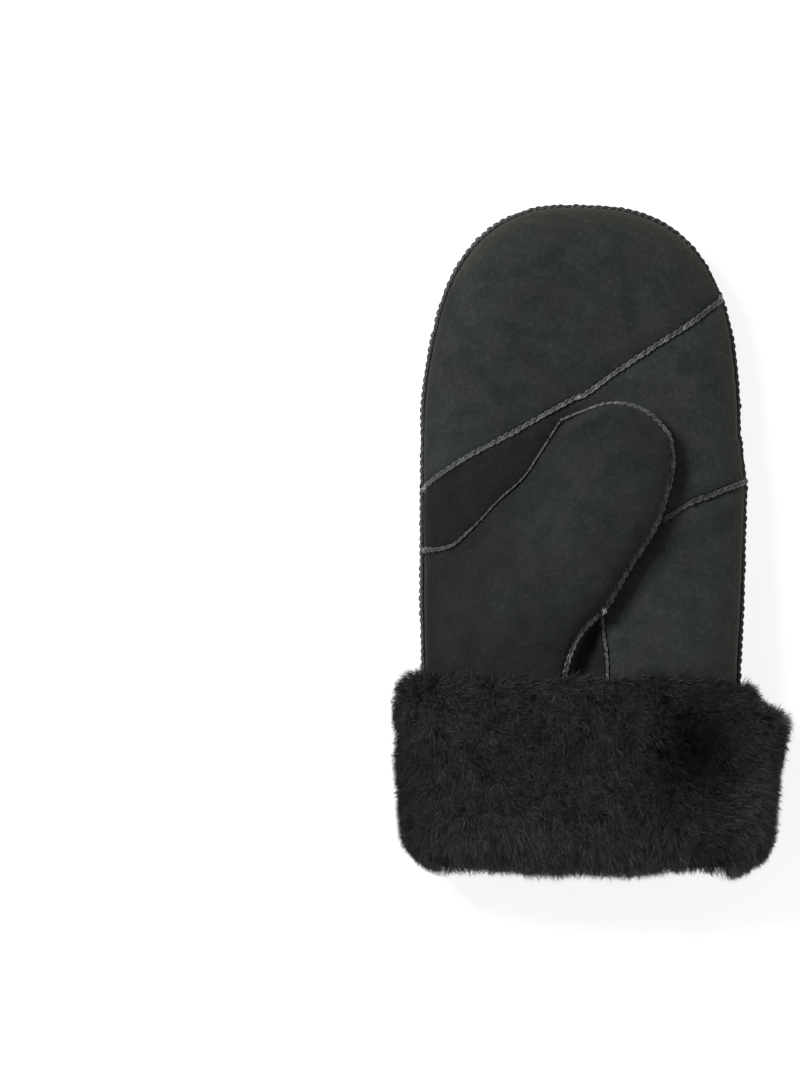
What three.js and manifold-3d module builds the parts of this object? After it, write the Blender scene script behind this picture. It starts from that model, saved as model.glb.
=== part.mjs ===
// A left-hand sheepskin mitten, lying palm up. Suede panels with whip-stitched
// seams outside, wool pile inside, and a cuff turned back so that its wool shows.
// Millimetres. +X is the little-finger side, +Y the fingertips, +Z up, and the
// origin is the middle of the footprint. Everything is first shaped about a level
// mid-plane at z = 0, and the last step lifts each point by the height of the
// mid-plane over the floor, which rises towards the wrist because the cuff is thick.
import * as THREE from "three";
import { mergeVertices } from "three/addons/utils/BufferGeometryUtils.js";
import Module from "manifold-3d";

const wasm = await Module();
wasm.setup();

// Driving sizes
const GAP = 0.3;
const SKIN = 1.5;
const WOOL = 6;
const WOOL_GAP = 0.8;
const SEAM_WIDTH = 2.8;
const SEAM_CHANNEL = 3.5;
const EDGE_SEAM = 3;
const EDGE_SEAM_WIDTH = 2.4;
const EDGE_INSET = 0.25;
const BACK_SEAM_HEIGHT = 1.5;
const RIDGE_REACH = 0.985;

const TIP_Y = 132.9;
const FINGER_BASE_Y = 45;
const WRIST_Y = -118;
const CENTRE_X = -10.3;
const FINGER_LEFT = 57.4;
const FINGER_RIGHT = 67.2;
const LEFT_ROUNDNESS = 2.3;
const RIGHT_ROUNDNESS = 2.7;
const EDGE_ROUNDNESS = 5;
const COLUMNS = 10;
const HOLLOW_COLUMNS = 8;

const FINGER_MID_Z = 17;
const WRIST_MID_Z = 29;
const RISE_START_Y = 40;
const RISE_END_Y = -80;

const THUMB_HEIGHT = 18;
const THUMB_SEAM_HEIGHT = 8;
const CORNER_SEAM_HEIGHT = 1.9;
const THUMB_ROUND = 15;
const ROUND_POWER = 2.2;
const THUMB_CLEARANCE = 0.6;
const THUMB_STATIONS = 21;
const THUMB_START_Y = -72;
const THUMB_FREE_Y = -15;
const SEAM_RISE_LENGTH = 30;
const CREST_RISE_LENGTH = 34;
const LOW_FULL_AT = 0.5;
const CREST_FULL_AT = 0.7;
const UNDER_FALL_WIDTH = 0.45;
const UNDER_START_Y = -40;
const UNDER_FREE_Y = -22;
// Half the room between the thumb's two panels, which leaves it to their seam
const SEAM_SPREAD = 2.1;
const FRONT_STOP = 0.975;
const UNDER_STOP = 0.935;
const FRONT_COLUMNS = [
  0, 0.06, 0.15, 0.27, 0.4, 0.53, 0.66, 0.77, 0.86, 0.92, 0.96, 0.985, 1,
];
const UNDER_COLUMNS = [0, 0.06, 0.16, 0.3, 0.45, 0.7, 1];

// The hand's outline below the finger base and its half thickness, from the wrist up
const HAND_ROWS = [
  { y: -140, left: -65, right: 54, half: 18 },
  { y: -90, left: -66, right: 55.5, half: 18 },
  { y: -48, left: -67, right: 56.4, half: 19.5 },
  { y: -20, left: -67.7, right: 58, half: 20 },
  { y: 8, left: -67.7, right: 59, half: 20 },
  { y: 22, left: -67.7, right: 59.6, half: 19.5 },
  { y: 45, left: -67.7, right: 56.9, half: 18.5 },
  { y: 140, left: -67.7, right: 56.9, half: 17.5 },
];
const HAND_STATIONS = [
  -118, -83, -71, -59, -47, -35, -23, -11, 1, 13, 22, 33, 45,
];
const FINGER_STATION_ANGLES = [14, 27, 39, 50, 60, 68, 75, 81, 86.5];

// Seam routes in plan
const FINGER_SEAM = [
  { x: -68.1, y: 20.9 },
  { x: -61.8, y: 26.3 },
  { x: -50.9, y: 33.7 },
  { x: -33.2, y: 43.2 },
  { x: -16.1, y: 52.9 },
  { x: -6.0, y: 57.6 },
  { x: 6.8, y: 66.5 },
  { x: 22.5, y: 77.0 },
  { x: 38.3, y: 87.2 },
  { x: 50.3, y: 96.8 },
];
const THUMB_BASE_SEAM = [
  { x: -67.3, y: -2.1 },
  { x: -56.4, y: -0.4 },
  { x: -48.6, y: 6.0 },
  { x: -37.5, y: 17.7 },
  { x: -27.8, y: 26.7 },
  { x: -21.6, y: 35.9 },
  { x: -13.5, y: 48.6 },
];
const THUMB_EDGE_SEAM = [
  { x: -13.5, y: 48.6 },
  { x: -6.0, y: 51.8 },
  { x: 6.4, y: 55.4 },
  { x: 17.9, y: 53.1 },
  { x: 28.0, y: 43.6 },
  { x: 30.0, y: 33.5 },
  { x: 27.7, y: 21.1 },
  { x: 22.2, y: 5.7 },
  { x: 12.5, y: -9.2 },
  { x: 3.2, y: -24.6 },
  { x: -4.5, y: -32.3 },
  { x: -9.6, y: -41.7 },
  { x: -13, y: -60 },
  { x: -15, y: -118 },
];
// Where the thumb joins the palm, under the thumb and on down to the wrist
const THUMB_CROTCH = [
  { x: -13.5, y: 48.6 },
  { x: -1.8, y: 29.4 },
  { x: 4.1, y: 6.0 },
  { x: 4.2, y: -12 },
  { x: 2.8, y: -24 },
  { x: 3.0, y: -32.3 },
  { x: 4.4, y: -42.4 },
  { x: 4.8, y: -60 },
  { x: 5, y: -118 },
];
// Matching places of the thumb's borders, as parts of each one's length
const BORDER_MATCH = [
  { edge: 0, border: 0, join: 0 },
  { edge: 0.25, border: 0.36, join: 0.4 },
  { edge: 0.4, border: 0.55, join: 0.52 },
  { edge: 0.6, border: 0.7, join: 0.67 },
  { edge: 0.78, border: 0.83, join: 0.8 },
  { edge: 0.88, border: 0.92, join: 0.89 },
  { edge: 1, border: 1, join: 1 },
];
const BORDER_TOP_Y = -4.5;
const BORDER_STEPS = 12;
const BORDER_INSET = 0.12;
const GUSSET_TOP_Y = -25;
const HEEL_RIDGE_START_X = 24.5;
const HEEL_SEAM = [
  { x: 4.2, y: -3 },
  { x: 14, y: 3.5 },
  { x: 25.3, y: 9.2 },
  { x: 36.5, y: 16.2 },
  { x: 46.2, y: 20.1 },
  { x: 60.4, y: 25.4 },
];
const BACK_THUMB_SIDE_SEAM = [
  { x: -40, y: 122.3 },
  { x: -35.5, y: 103.2 },
  { x: -34.5, y: 59.1 },
  { x: -33.7, y: 11.5 },
  { x: -25.0, y: -48.6 },
  { x: -22, y: -118 },
];
const BACK_OUTER_SEAM = [
  { x: 24.0, y: 124.7 },
  { x: 24.0, y: 77.0 },
  { x: 21.8, y: 24.0 },
  { x: 14.8, y: -48.6 },
  { x: 12, y: -118 },
];

// The lining is open towards the thumb inside this outline
const THUMB_WINDOW = [
  { x: -50, y: -5 },
  { x: -34, y: 13 },
  { x: -19, y: 30 },
  { x: -13, y: 41 },
  { x: -5, y: 28 },
  { x: 0, y: 6 },
  { x: -1, y: -60 },
  { x: -50, y: -60 },
];

// The cuff's outline and its half thickness, from the top edge down to the rim
const CUFF_ROWS = [
  { y: -49, left: -69.5, right: 59.5, half: 24.5 },
  { y: -52, left: -74.5, right: 65, half: 28.5 },
  { y: -57, left: -77, right: 72, half: 30 },
  { y: -65, left: -77.5, right: 77, half: 30.5 },
  { y: -90, left: -77, right: 70.5, half: 29 },
  { y: -113, left: -74, right: 69, half: 28 },
  { y: -121, left: -70.5, right: 67, half: 25.5 },
  { y: -127, left: -66, right: 63, half: 22 },
  { y: -130.5, left: -59, right: 56, half: 15.5 },
];
const CUFF_CENTRE_X = -4;
const CUFF_STATIONS = 18;
const CUFF_COLUMNS = 44;
const CUFF_SQUARENESS = 2.6;
const CUFF_FLATNESS = 2.5;
const CUFF_SHOULDER_DROP = 12;
const CUFF_CLEARANCE = 2;
const CUFF_STATION_EASE = 0.55;
const SHOULDER_LENGTH = 26;
const SHOULDER_FROM = 0.72;
const SHOULDER_TO = 0.96;
const LOCK_HEIGHT = 4;
const LOCK_STATIONS = 3;
const LOCK_OVERHANG = 1.6;
const LOCK_CREST = 0.5;
const LOCK_HOLLOW = -0.35;
const LOCK_ROOT = 0.35;
const LOCK_WOBBLE = 0.22;
const OVAL_SAMPLES = 200;
const RIM_Y = WRIST_Y - GAP;
const RIDGE_SIDES = 6;
const RIDGE_SEAT = 0.1;
const ROUTE_STEPS = 80;
const LONG_ROUTE_STEPS = 120;
const BASE_RIDGE_SHORTENED = 3;
const OUTLINE_WRIST_STEPS = 10;
const OUTLINE_TIP_STEPS = 12;
const EDGE_SEAM_STATIONS = 54;
const WINDOW_LOW = 2;
// How far a cutting solid runs on past the wrist
const OVERCUT = 10;
const LONG_OVERCUT = 40;
// Above and beside everything
const HIGH = 70;
const FAR_CORNERS = [
  { x: -120, y: -150 },
  { x: 120, y: -150 },
  { x: 120, y: 150 },
  { x: -120, y: 150 },
];

// Small tools
const smooth = (a, b, v) => {
  const t = Math.min(1, Math.max(0, (v - a) / (b - a)));
  return t * t * (3 - 2 * t);
};
const mix = (a, b, t) => a + (b - a) * t;

// A table's column where its key column has a given value, straight between rows
function rowAt(rows, value, column, key = "y") {
  const up = rows[0][key] < rows[1][key];
  const list = up ? rows : [...rows].reverse();
  if (value <= list[0][key]) return list[0][column];
  for (let i = 1; i < list.length; i++)
    if (value <= list[i][key]) {
      const span = list[i][key] - list[i - 1][key];
      const part = (value - list[i - 1][key]) / span;
      return mix(list[i - 1][column], list[i][column], part);
    }
  return list.at(-1)[column];
}

// Height of the mid-plane over the floor, straight between the hand's stations
const LIFT_ROWS = HAND_STATIONS.map((y) => ({
  y,
  lift: mix(
    FINGER_MID_Z,
    WRIST_MID_Z,
    1 - smooth(RISE_END_Y, RISE_START_Y, y),
  ),
}));
const liftAt = (y) => rowAt(LIFT_ROWS, y, "lift");

// Inset version of the hand's outline: how far a point is from the middle, 0 to 1
function handReach(x, y, inset = 0) {
  const dx = Math.abs(x - CENTRE_X);
  const onLeft = x < CENTRE_X;
  if (y <= FINGER_BASE_Y) {
    const side = rowAt(HAND_ROWS, y, onLeft ? "left" : "right");
    return dx / (Math.abs(side - CENTRE_X) - inset);
  }
  const n = onLeft ? LEFT_ROUNDNESS : RIGHT_ROUNDNESS;
  const across = dx / ((onLeft ? FINGER_LEFT : FINGER_RIGHT) - inset);
  const along = (y - FINGER_BASE_Y) / (TIP_Y - FINGER_BASE_Y - inset);
  return Math.pow(Math.pow(across, n) + Math.pow(along, n), 1 / n);
}
function handHalf(x, y, inset = 0) {
  const reach = Math.min(1, handReach(x, y, inset));
  const half = rowAt(HAND_ROWS, y, "half") - inset;
  return half * Math.sqrt(1 - Math.pow(reach, EDGE_ROUNDNESS));
}
const palmZ = (x, y, inset = 0) => handHalf(x, y, inset);
const backZ = (x, y, inset = 0) =>
  Math.max(-handHalf(x, y, inset), inset - liftAt(y));

// Meshes to solids
function solidFrom(positions, indices) {
  const mesh = new wasm.Mesh({
    numProp: 3,
    vertProperties: new Float32Array(positions),
    triVerts: new Uint32Array(indices),
  });
  mesh.merge();
  return new wasm.Manifold(mesh);
}
function solidOf(geometry) {
  const bare = geometry.index ? geometry.toNonIndexed() : geometry.clone();
  bare.deleteAttribute("normal");
  bare.deleteAttribute("uv");
  const merged = mergeVertices(bare, 1e-4);
  return solidFrom(merged.attributes.position.array, merged.index.array);
}

// Closed solid through rings of equal count, each listed over the top and back below
function solidThrough(rings) {
  const count = rings[0].length;
  const positions = rings.flat(2);
  const indices = [];
  const id = (r, i) => r * count + ((i + count) % count);
  for (let r = 0; r + 1 < rings.length; r++)
    for (let i = 0; i < count; i++)
      indices.push(
        ...[id(r, i), id(r, i + 1), id(r + 1, i + 1)],
        ...[id(r, i), id(r + 1, i + 1), id(r + 1, i)],
      );
  const last = rings.length - 1;
  for (let i = 0; i < count / 2; i++) {
    const j = count - i;
    const flatStart = [id(0, i), id(0, j), id(0, i + 1)];
    const flatEnd = [id(0, i + 1), id(0, j), id(0, j - 1)];
    for (const [a, b, c] of [flatStart, flatEnd])
      if (a !== b && b !== c && a !== c) {
        indices.push(a, b, c);
        indices.push(...[a, c, b].map((v) => v + last * count));
      }
  }
  return solidFrom(positions, indices);
}

// Closed solid between two grids of points of the same size
function solidBetween(outer, inner) {
  const rows = outer.length;
  const columns = outer[0].length;
  const positions = [...outer.flat(2), ...inner.flat(2)];
  const below = rows * columns;
  const id = (r, c) => r * columns + c;
  const indices = [];
  const quad = (a, b, c, d) => indices.push(a, b, c, a, c, d);
  for (let r = 0; r + 1 < rows; r++)
    for (let c = 0; c + 1 < columns; c++) {
      const [a, b] = [id(r, c), id(r, c + 1)];
      const [d, e] = [id(r + 1, c + 1), id(r + 1, c)];
      quad(a, b, d, e);
      quad(a + below, e + below, d + below, b + below);
    }
  for (let c = 0; c + 1 < columns; c++) {
    const [a, b] = [id(0, c), id(0, c + 1)];
    const [d, e] = [id(rows - 1, c), id(rows - 1, c + 1)];
    quad(a, a + below, b + below, b);
    quad(d, e, e + below, d + below);
  }
  for (let r = 0; r + 1 < rows; r++) {
    const [a, b] = [id(r, 0), id(r + 1, 0)];
    const [d, e] = [id(r, columns - 1), id(r + 1, columns - 1)];
    quad(a, b, b + below, a + below);
    quad(d, d + below, e + below, e);
  }
  return solidFrom(positions, indices);
}
// The same for a wall of even thickness under its outer grid
function wallFrom(outer, thickness) {
  const last = [outer.length - 1, outer[0].length - 1];
  const at = (r, c) => {
    const row = outer[Math.min(last[0], Math.max(0, r))];
    return new THREE.Vector3(...row[Math.min(last[1], Math.max(0, c))]);
  };
  const inner = outer.map((row, r) =>
    row.map((_, c) => {
      const along = at(r + 1, c).sub(at(r - 1, c));
      const across = at(r, c + 1).sub(at(r, c - 1));
      const inwards = along.cross(across).setLength(thickness);
      return inwards.add(at(r, c)).toArray();
    }),
  );
  return solidBetween(outer, inner);
}

// A route in plan as evenly spaced points
function planRoute(table, steps) {
  const curve = new THREE.CatmullRomCurve3(
    table.map((p) => new THREE.Vector3(p.x, p.y, 0)),
    false,
    "centripetal",
  );
  return curve.getSpacedPoints(steps);
}
function lengthened(route, byStart, byEnd) {
  const start = route[0].clone().sub(route[1]).setLength(byStart).add(route[0]);
  const n = route.length;
  const end = route[n - 1].clone().sub(route[n - 2]).setLength(byEnd);
  return [start, ...route, end.add(route[n - 1])];
}
function sideways(route, distance) {
  return route.map((point, i) => {
    const before = route[Math.max(0, i - 1)];
    const after = route[Math.min(route.length - 1, i + 1)];
    const along = after.clone().sub(before).normalize();
    return new THREE.Vector3(
      point.x - along.y * distance,
      point.y + along.x * distance,
      0,
    );
  });
}
function upright(points, low, high) {
  const shape = new THREE.Shape(points.map((p) => new THREE.Vector2(p.x, p.y)));
  const geometry = new THREE.ExtrudeGeometry(shape, {
    depth: high - low,
    bevelEnabled: false,
  });
  return solidOf(geometry.translate(0, 0, low));
}
function channel(route, low, high, startExtra = 12, endExtra = 12) {
  const long = lengthened(route, startExtra, endExtra);
  const half = SEAM_CHANNEL / 2;
  const ribbon = [...sideways(long, half), ...sideways(long, -half).reverse()];
  return upright(ribbon, low, high);
}

// The hand as a plain closed pillow, made smaller all round by an inset
function handSolid(inset, wristY, columns = COLUMNS) {
  const stations = [wristY, ...HAND_STATIONS.filter((y) => y > wristY + 1)];
  for (const angle of FINGER_STATION_ANGLES)
    stations.push(
      FINGER_BASE_Y +
        (TIP_Y - inset - FINGER_BASE_Y) * Math.sin((angle * Math.PI) / 180),
    );
  const rings = stations.map((y) => {
    const along = Math.max(
      0,
      (y - FINGER_BASE_Y) / (TIP_Y - inset - FINGER_BASE_Y),
    );
    const widthAt = (onLeft) => {
      const n = onLeft ? LEFT_ROUNDNESS : RIGHT_ROUNDNESS;
      const side = Math.abs(
        rowAt(HAND_ROWS, y, onLeft ? "left" : "right") - CENTRE_X,
      );
      const full = side - inset;
      return full * Math.pow(1 - Math.pow(along, n), 1 / n);
    };
    const xs = [];
    for (let i = 0; i <= columns; i++) {
      const part = Math.sin(Math.PI * (i / columns - 0.5));
      xs.push(CENTRE_X + part * widthAt(part < 0));
    }
    const over = xs.map((x) => [x, y, palmZ(x, y, inset)]);
    const under = xs.slice(1, -1).map((x) => [x, y, backZ(x, y, inset)]);
    return [...over, ...under.reverse()];
  });
  return solidThrough(rings);
}

// Pieces of a cut solid: the one with a corner nearest to a place in plan
function pieceNear(pieces, x, y) {
  let best = null;
  let bestDistance = Infinity;
  for (const piece of pieces) {
    const { vertProperties, numProp } = piece.getMesh();
    for (let i = 0; i < vertProperties.length; i += numProp) {
      const d = Math.hypot(vertProperties[i] - x, vertProperties[i + 1] - y);
      if (d < bestDistance) [best, bestDistance] = [piece, d];
    }
  }
  return best;
}

// A seam ridge: a small oval section drawn along points in space
function ridge(points, width, height) {
  const oval = new THREE.Shape();
  for (let i = 0; i < RIDGE_SIDES; i++) {
    const a = (2 * Math.PI * i) / RIDGE_SIDES;
    const corner = [(height / 2) * Math.cos(a), (width / 2) * Math.sin(a)];
    if (i) oval.lineTo(...corner);
    else oval.moveTo(...corner);
  }
  oval.closePath();
  const path = new THREE.CatmullRomCurve3(points, false, "centripetal");
  const geometry = new THREE.ExtrudeGeometry(oval, {
    steps: points.length - 1,
    extrudePath: path,
    bevelEnabled: false,
  });
  return solidOf(geometry);
}
// A route in plan, drawn on a surface and kept off the hand's edge
function onSurface(plan, steps, heightAt) {
  const dense = plan
    .filter((p) => handReach(p.x, p.y) < RIDGE_REACH)
    .map((p) => new THREE.Vector3(p.x, p.y, heightAt(p)));
  return new THREE.CatmullRomCurve3(dense, false, "centripetal").getSpacedPoints(
    steps,
  );
}
const onPalm = (p) => palmZ(p.x, p.y) - RIDGE_SEAT;
const onBack = (p) =>
  Math.max(
    RIDGE_SEAT - handHalf(p.x, p.y),
    BACK_SEAM_HEIGHT / 2 - liftAt(p.y),
  );

// Suede shell, cut by channels where the seams run
const shell = handSolid(0, WRIST_Y).subtract(
  handSolid(SKIN, WRIST_Y - OVERCUT),
);
const edgeHalf = EDGE_SEAM / 2 + GAP;
const overMiddle = upright(FAR_CORNERS, edgeHalf, HIGH);
const underMiddle = upright(FAR_CORNERS, -HIGH, -edgeHalf);

const fingerRoute = planRoute(FINGER_SEAM, 28);
const baseRoute = planRoute(THUMB_BASE_SEAM, 17);
const crotchRoute = planRoute(THUMB_CROTCH, 34);
const heelRoute = planRoute(HEEL_SEAM, 13);
const palmPieces = shell
  .intersect(overMiddle)
  .subtract(channel(fingerRoute, 0, HIGH))
  .subtract(channel(baseRoute, 0, HIGH, 12, 2))
  .subtract(channel(crotchRoute, 0, HIGH, 2, 12))
  .subtract(channel(heelRoute, 0, HIGH, 2, 12))
  .decompose();

const backThumbRoute = planRoute(BACK_THUMB_SIDE_SEAM, 24);
const backOuterRoute = planRoute(BACK_OUTER_SEAM, 24);
const backPieces = shell
  .intersect(underMiddle)
  .subtract(channel(backThumbRoute, -HIGH, 0))
  .subtract(channel(backOuterRoute, -HIGH, 0))
  .decompose();

// How much of its full height the thumb has: 0 at the wrist, 1 where it is free
const thumbGrowth = (y) => smooth(THUMB_START_Y, THUMB_FREE_Y, y);
function edgeHeight(p) {
  const corner = THUMB_EDGE_SEAM[0];
  const fromCorner = Math.hypot(p.x - corner.x, p.y - corner.y);
  const part = smooth(0, SEAM_RISE_LENGTH, fromCorner);
  return mix(CORNER_SEAM_HEIGHT, THUMB_SEAM_HEIGHT, part) * thumbGrowth(p.y);
}

function alongPolyline(points, t) {
  const path = new THREE.CurvePath();
  for (let i = 1; i < points.length; i++)
    path.add(new THREE.LineCurve3(points[i - 1], points[i]));
  return path.getPointAt(Math.min(1, Math.max(0, t)));
}
// A place beside a route, on its left when the distance is positive
function besideRoute(points, t, distance) {
  const here = alongPolyline(points, t);
  const ahead = alongPolyline(points, Math.min(1, t + 0.01));
  const behind = alongPolyline(points, Math.max(0, t - 0.01));
  const along = ahead.sub(behind).normalize();
  here.x -= along.y * distance;
  here.y += along.x * distance;
  return here;
}

// All three borders start at the wrist and end at the thumb's corner
const edgeRoute = planRoute(THUMB_EDGE_SEAM, 40).reverse();
const joinRoute = sideways([...crotchRoute].reverse(), SEAM_CHANNEL / 2);
const borderRoute = (() => {
  const border = [];
  for (let i = 0; i <= BORDER_STEPS; i++) {
    const y = mix(WRIST_Y, BORDER_TOP_Y, i / BORDER_STEPS);
    const x = rowAt(HAND_ROWS, y, "left") + BORDER_INSET;
    border.push(new THREE.Vector3(x, y, 0));
  }
  return [...border, ...sideways(baseRoute, -SEAM_CHANNEL / 2).slice(1)];
})();

// The two panels lie side by side at the wrist and one over the other in the thumb
function seamTurn(p) {
  const turn = (thumbGrowth(p.y) * Math.PI) / 2;
  return {
    beside: SEAM_SPREAD * Math.cos(turn),
    above: SEAM_SPREAD * Math.sin(turn),
  };
}

// The thumb's front at part t of its length, from the hand's edge to its own seam
function frontPoint(t, u) {
  const seam = alongPolyline(edgeRoute, t);
  const { beside, above } = seamTurn(seam);
  const edge = besideRoute(edgeRoute, t, beside);
  const border = alongPolyline(borderRoute, rowAt(BORDER_MATCH, t, "border", "edge"));
  const chord = edge.distanceTo(border);
  const point = border.clone().lerp(edge, u);
  const low = (edgeHeight(seam) + above) * smooth(0, LOW_FULL_AT, u);
  const across = smooth(0, CREST_FULL_AT, u);
  const full = THUMB_HEIGHT * across * smooth(0, CREST_RISE_LENGTH, chord);
  const crest = Math.max(low, full * thumbGrowth(point.y));
  const away = Math.min(1, ((1 - u) * chord) / THUMB_ROUND);
  const round = Math.sqrt(1 - Math.pow(1 - away, ROUND_POWER));
  const rise = mix(low, crest, round);
  return [point.x, point.y, palmZ(point.x, point.y) + rise];
}

// The thumb's underside runs from its free edge to where it joins the palm
function underPoint(t, u) {
  const seam = alongPolyline(edgeRoute, t);
  const { beside, above } = seamTurn(seam);
  const edge = besideRoute(edgeRoute, t, -beside);
  const join = alongPolyline(joinRoute, rowAt(BORDER_MATCH, t, "join", "edge"));
  const point = edge.clone().lerp(join, u);
  const rest = THUMB_CLEARANCE * smooth(UNDER_START_Y, UNDER_FREE_Y, point.y);
  const top = Math.max(rest, edgeHeight(seam) - above);
  const out = 1 - Math.min(1, u / UNDER_FALL_WIDTH);
  const fall = 1 - Math.sqrt(1 - out * out);
  return [
    point.x,
    point.y,
    palmZ(point.x, point.y) + mix(rest, top, fall),
  ];
}
const stationAt = (i, stop) => (stop * i) / (THUMB_STATIONS - 1);
function thumbGrid(stop, columns, pointAt) {
  const points = [];
  for (let i = 0; i < THUMB_STATIONS; i++)
    points.push(columns.map((u) => pointAt(stationAt(i, stop), u)));
  return points;
}
const frontGrid = thumbGrid(FRONT_STOP, FRONT_COLUMNS, frontPoint);
const underGrid = thumbGrid(UNDER_STOP, UNDER_COLUMNS, underPoint);

// The seam round the outline, from the wrist over the tip and back
function handOutline(inset, wristSteps, tipSteps) {
  const points = [];
  const wristRows = (side) => {
    const inwards = side === "left" ? inset : -inset;
    for (let i = 0; i < wristSteps; i++) {
      const y = mix(WRIST_Y, FINGER_BASE_Y, i / wristSteps);
      points.push(new THREE.Vector3(rowAt(HAND_ROWS, y, side) + inwards, y, 0));
    }
  };
  const fingerArc = (width, roundness, sign) => {
    const arc = [];
    for (let i = 0; i <= tipSteps; i++) {
      const turn = (i / tipSteps) * (Math.PI / 2);
      const across = (width - inset) * Math.pow(Math.cos(turn), 2 / roundness);
      const along =
        (TIP_Y - FINGER_BASE_Y - inset) *
        Math.pow(Math.sin(turn), 2 / roundness);
      arc.push(
        new THREE.Vector3(CENTRE_X + sign * across, FINGER_BASE_Y + along, 0),
      );
    }
    return arc;
  };
  wristRows("left");
  points.push(...fingerArc(FINGER_LEFT, LEFT_ROUNDNESS, -1));
  const leftSide = points.splice(0);
  wristRows("right");
  points.push(...fingerArc(FINGER_RIGHT, RIGHT_ROUNDNESS, 1));
  return [...leftSide, ...points.reverse().slice(1)];
}
const edgePath = new THREE.CatmullRomCurve3(
  handOutline(EDGE_INSET, OUTLINE_WRIST_STEPS, OUTLINE_TIP_STEPS),
);
const edgePoints = edgePath.getSpacedPoints(EDGE_SEAM_STATIONS);

const heelVisible = planRoute(HEEL_SEAM, ROUTE_STEPS).filter(
  (p) => p.x > HEEL_RIDGE_START_X,
);
const baseRidgePlan = planRoute(THUMB_BASE_SEAM, ROUTE_STEPS).slice(
  0,
  -BASE_RIDGE_SHORTENED,
);
const gussetVisible = planRoute(THUMB_CROTCH, LONG_ROUTE_STEPS).filter(
  (p) => p.y < GUSSET_TOP_Y,
);
const thumbEdgePoints = edgeRoute.map(
  (p) => new THREE.Vector3(p.x, p.y, palmZ(p.x, p.y) + edgeHeight(p)),
);
const palmRidge = (table, steps) =>
  ridge(
    onSurface(planRoute(table, LONG_ROUTE_STEPS), steps, onPalm),
    SEAM_WIDTH,
    SEAM_WIDTH,
  );
const backRidge = (table, steps) =>
  ridge(
    onSurface(planRoute(table, LONG_ROUTE_STEPS).reverse(), steps, onBack),
    SEAM_WIDTH,
    BACK_SEAM_HEIGHT,
  );

// Wool pile inside, with a window towards the thumb
const liningInset = SKIN + WOOL_GAP;
const hollow = (wristY) =>
  handSolid(liningInset + WOOL, wristY, HOLLOW_COLUMNS);
const woolLining = handSolid(liningInset, WRIST_Y)
  .subtract(hollow(WRIST_Y - OVERCUT))
  .subtract(upright(THUMB_WINDOW, WINDOW_LOW, HIGH));

// The turned-back cuff: overlapping locks of wool in staggered rows.
// First the directions of its columns, evenly spaced round a squarish oval.
function ovalPoint(turn) {
  const squared = (v) => Math.sign(v) * Math.abs(v) ** (2 / CUFF_SQUARENESS);
  return new THREE.Vector2(squared(Math.cos(turn)), squared(Math.sin(turn)));
}
const ovalColumns = (() => {
  const quarter = [];
  for (let i = 0; i <= OVAL_SAMPLES; i++)
    quarter.push(ovalPoint((i / OVAL_SAMPLES) * (Math.PI / 2)));
  const wide = quarter.map((p) => new THREE.Vector2(p.x * CUFF_FLATNESS, p.y));
  const steps = CUFF_COLUMNS / 4;
  const lengths = [0];
  for (let i = 1; i < wide.length; i++)
    lengths.push(lengths[i - 1] + wide[i].distanceTo(wide[i - 1]));
  const picked = [];
  for (let k = 0; k <= steps; k++) {
    const goal = (lengths.at(-1) * k) / steps;
    const i = lengths.findIndex((length) => length >= goal - 1e-9);
    picked.push(quarter[i]);
  }
  const flip = (list, sx, sy) =>
    list.map((p) => new THREE.Vector2(p.x * sx, p.y * sy));
  const backwards = [...picked].reverse().slice(1);
  return [
    ...flip(picked, -1, 1),
    ...flip(backwards, 1, 1),
    ...flip(picked.slice(1), 1, -1),
    ...flip(backwards.slice(0, -1), -1, -1),
  ];
})();
function cuffRing(station) {
  const part = station / (CUFF_STATIONS - 1);
  const spread = mix(part, smooth(0, 1, part), CUFF_STATION_EASE);
  const top = CUFF_ROWS[0].y;
  const y = mix(top, CUFF_ROWS.at(-1).y, spread);
  const lockRow = Math.floor(station / LOCK_STATIONS);
  const downLock = (station % LOCK_STATIONS) / (LOCK_STATIONS - 1);
  return ovalColumns.map((oval, i) => {
    const high = (i + lockRow) % 2 === 0;
    const swell = (high ? LOCK_CREST : LOCK_HOLLOW) * mix(LOCK_ROOT, 1, downLock);
    const wobble = LOCK_WOBBLE * Math.sin(1.7 * i + 2.3 * lockRow);
    const bulge = LOCK_HEIGHT * (swell + wobble);
    const side = oval.x < 0 ? "left" : "right";
    const reach = Math.abs(rowAt(CUFF_ROWS, y, side) - CUFF_CENTRE_X) + bulge;
    const half = rowAt(CUFF_ROWS, y, "half") + bulge;
    const shoulder = oval.x > 0 ? CUFF_SHOULDER_DROP : CUFF_SHOULDER_DROP / 2;
    const outwards = smooth(SHOULDER_FROM, SHOULDER_TO, Math.abs(oval.x));
    const drop = shoulder * outwards * (1 - smooth(0, SHOULDER_LENGTH, top - y));
    const lower = y - drop - (high ? LOCK_OVERHANG * downLock : 0);
    return [
      CUFF_CENTRE_X + reach * oval.x,
      lower,
      Math.max(half * oval.y, -liftAt(lower)),
    ];
  });
}
const cuffRings = [];
for (let station = 0; station < CUFF_STATIONS; station++)
  cuffRings.push(cuffRing(station));
cuffRings.reverse();
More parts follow.
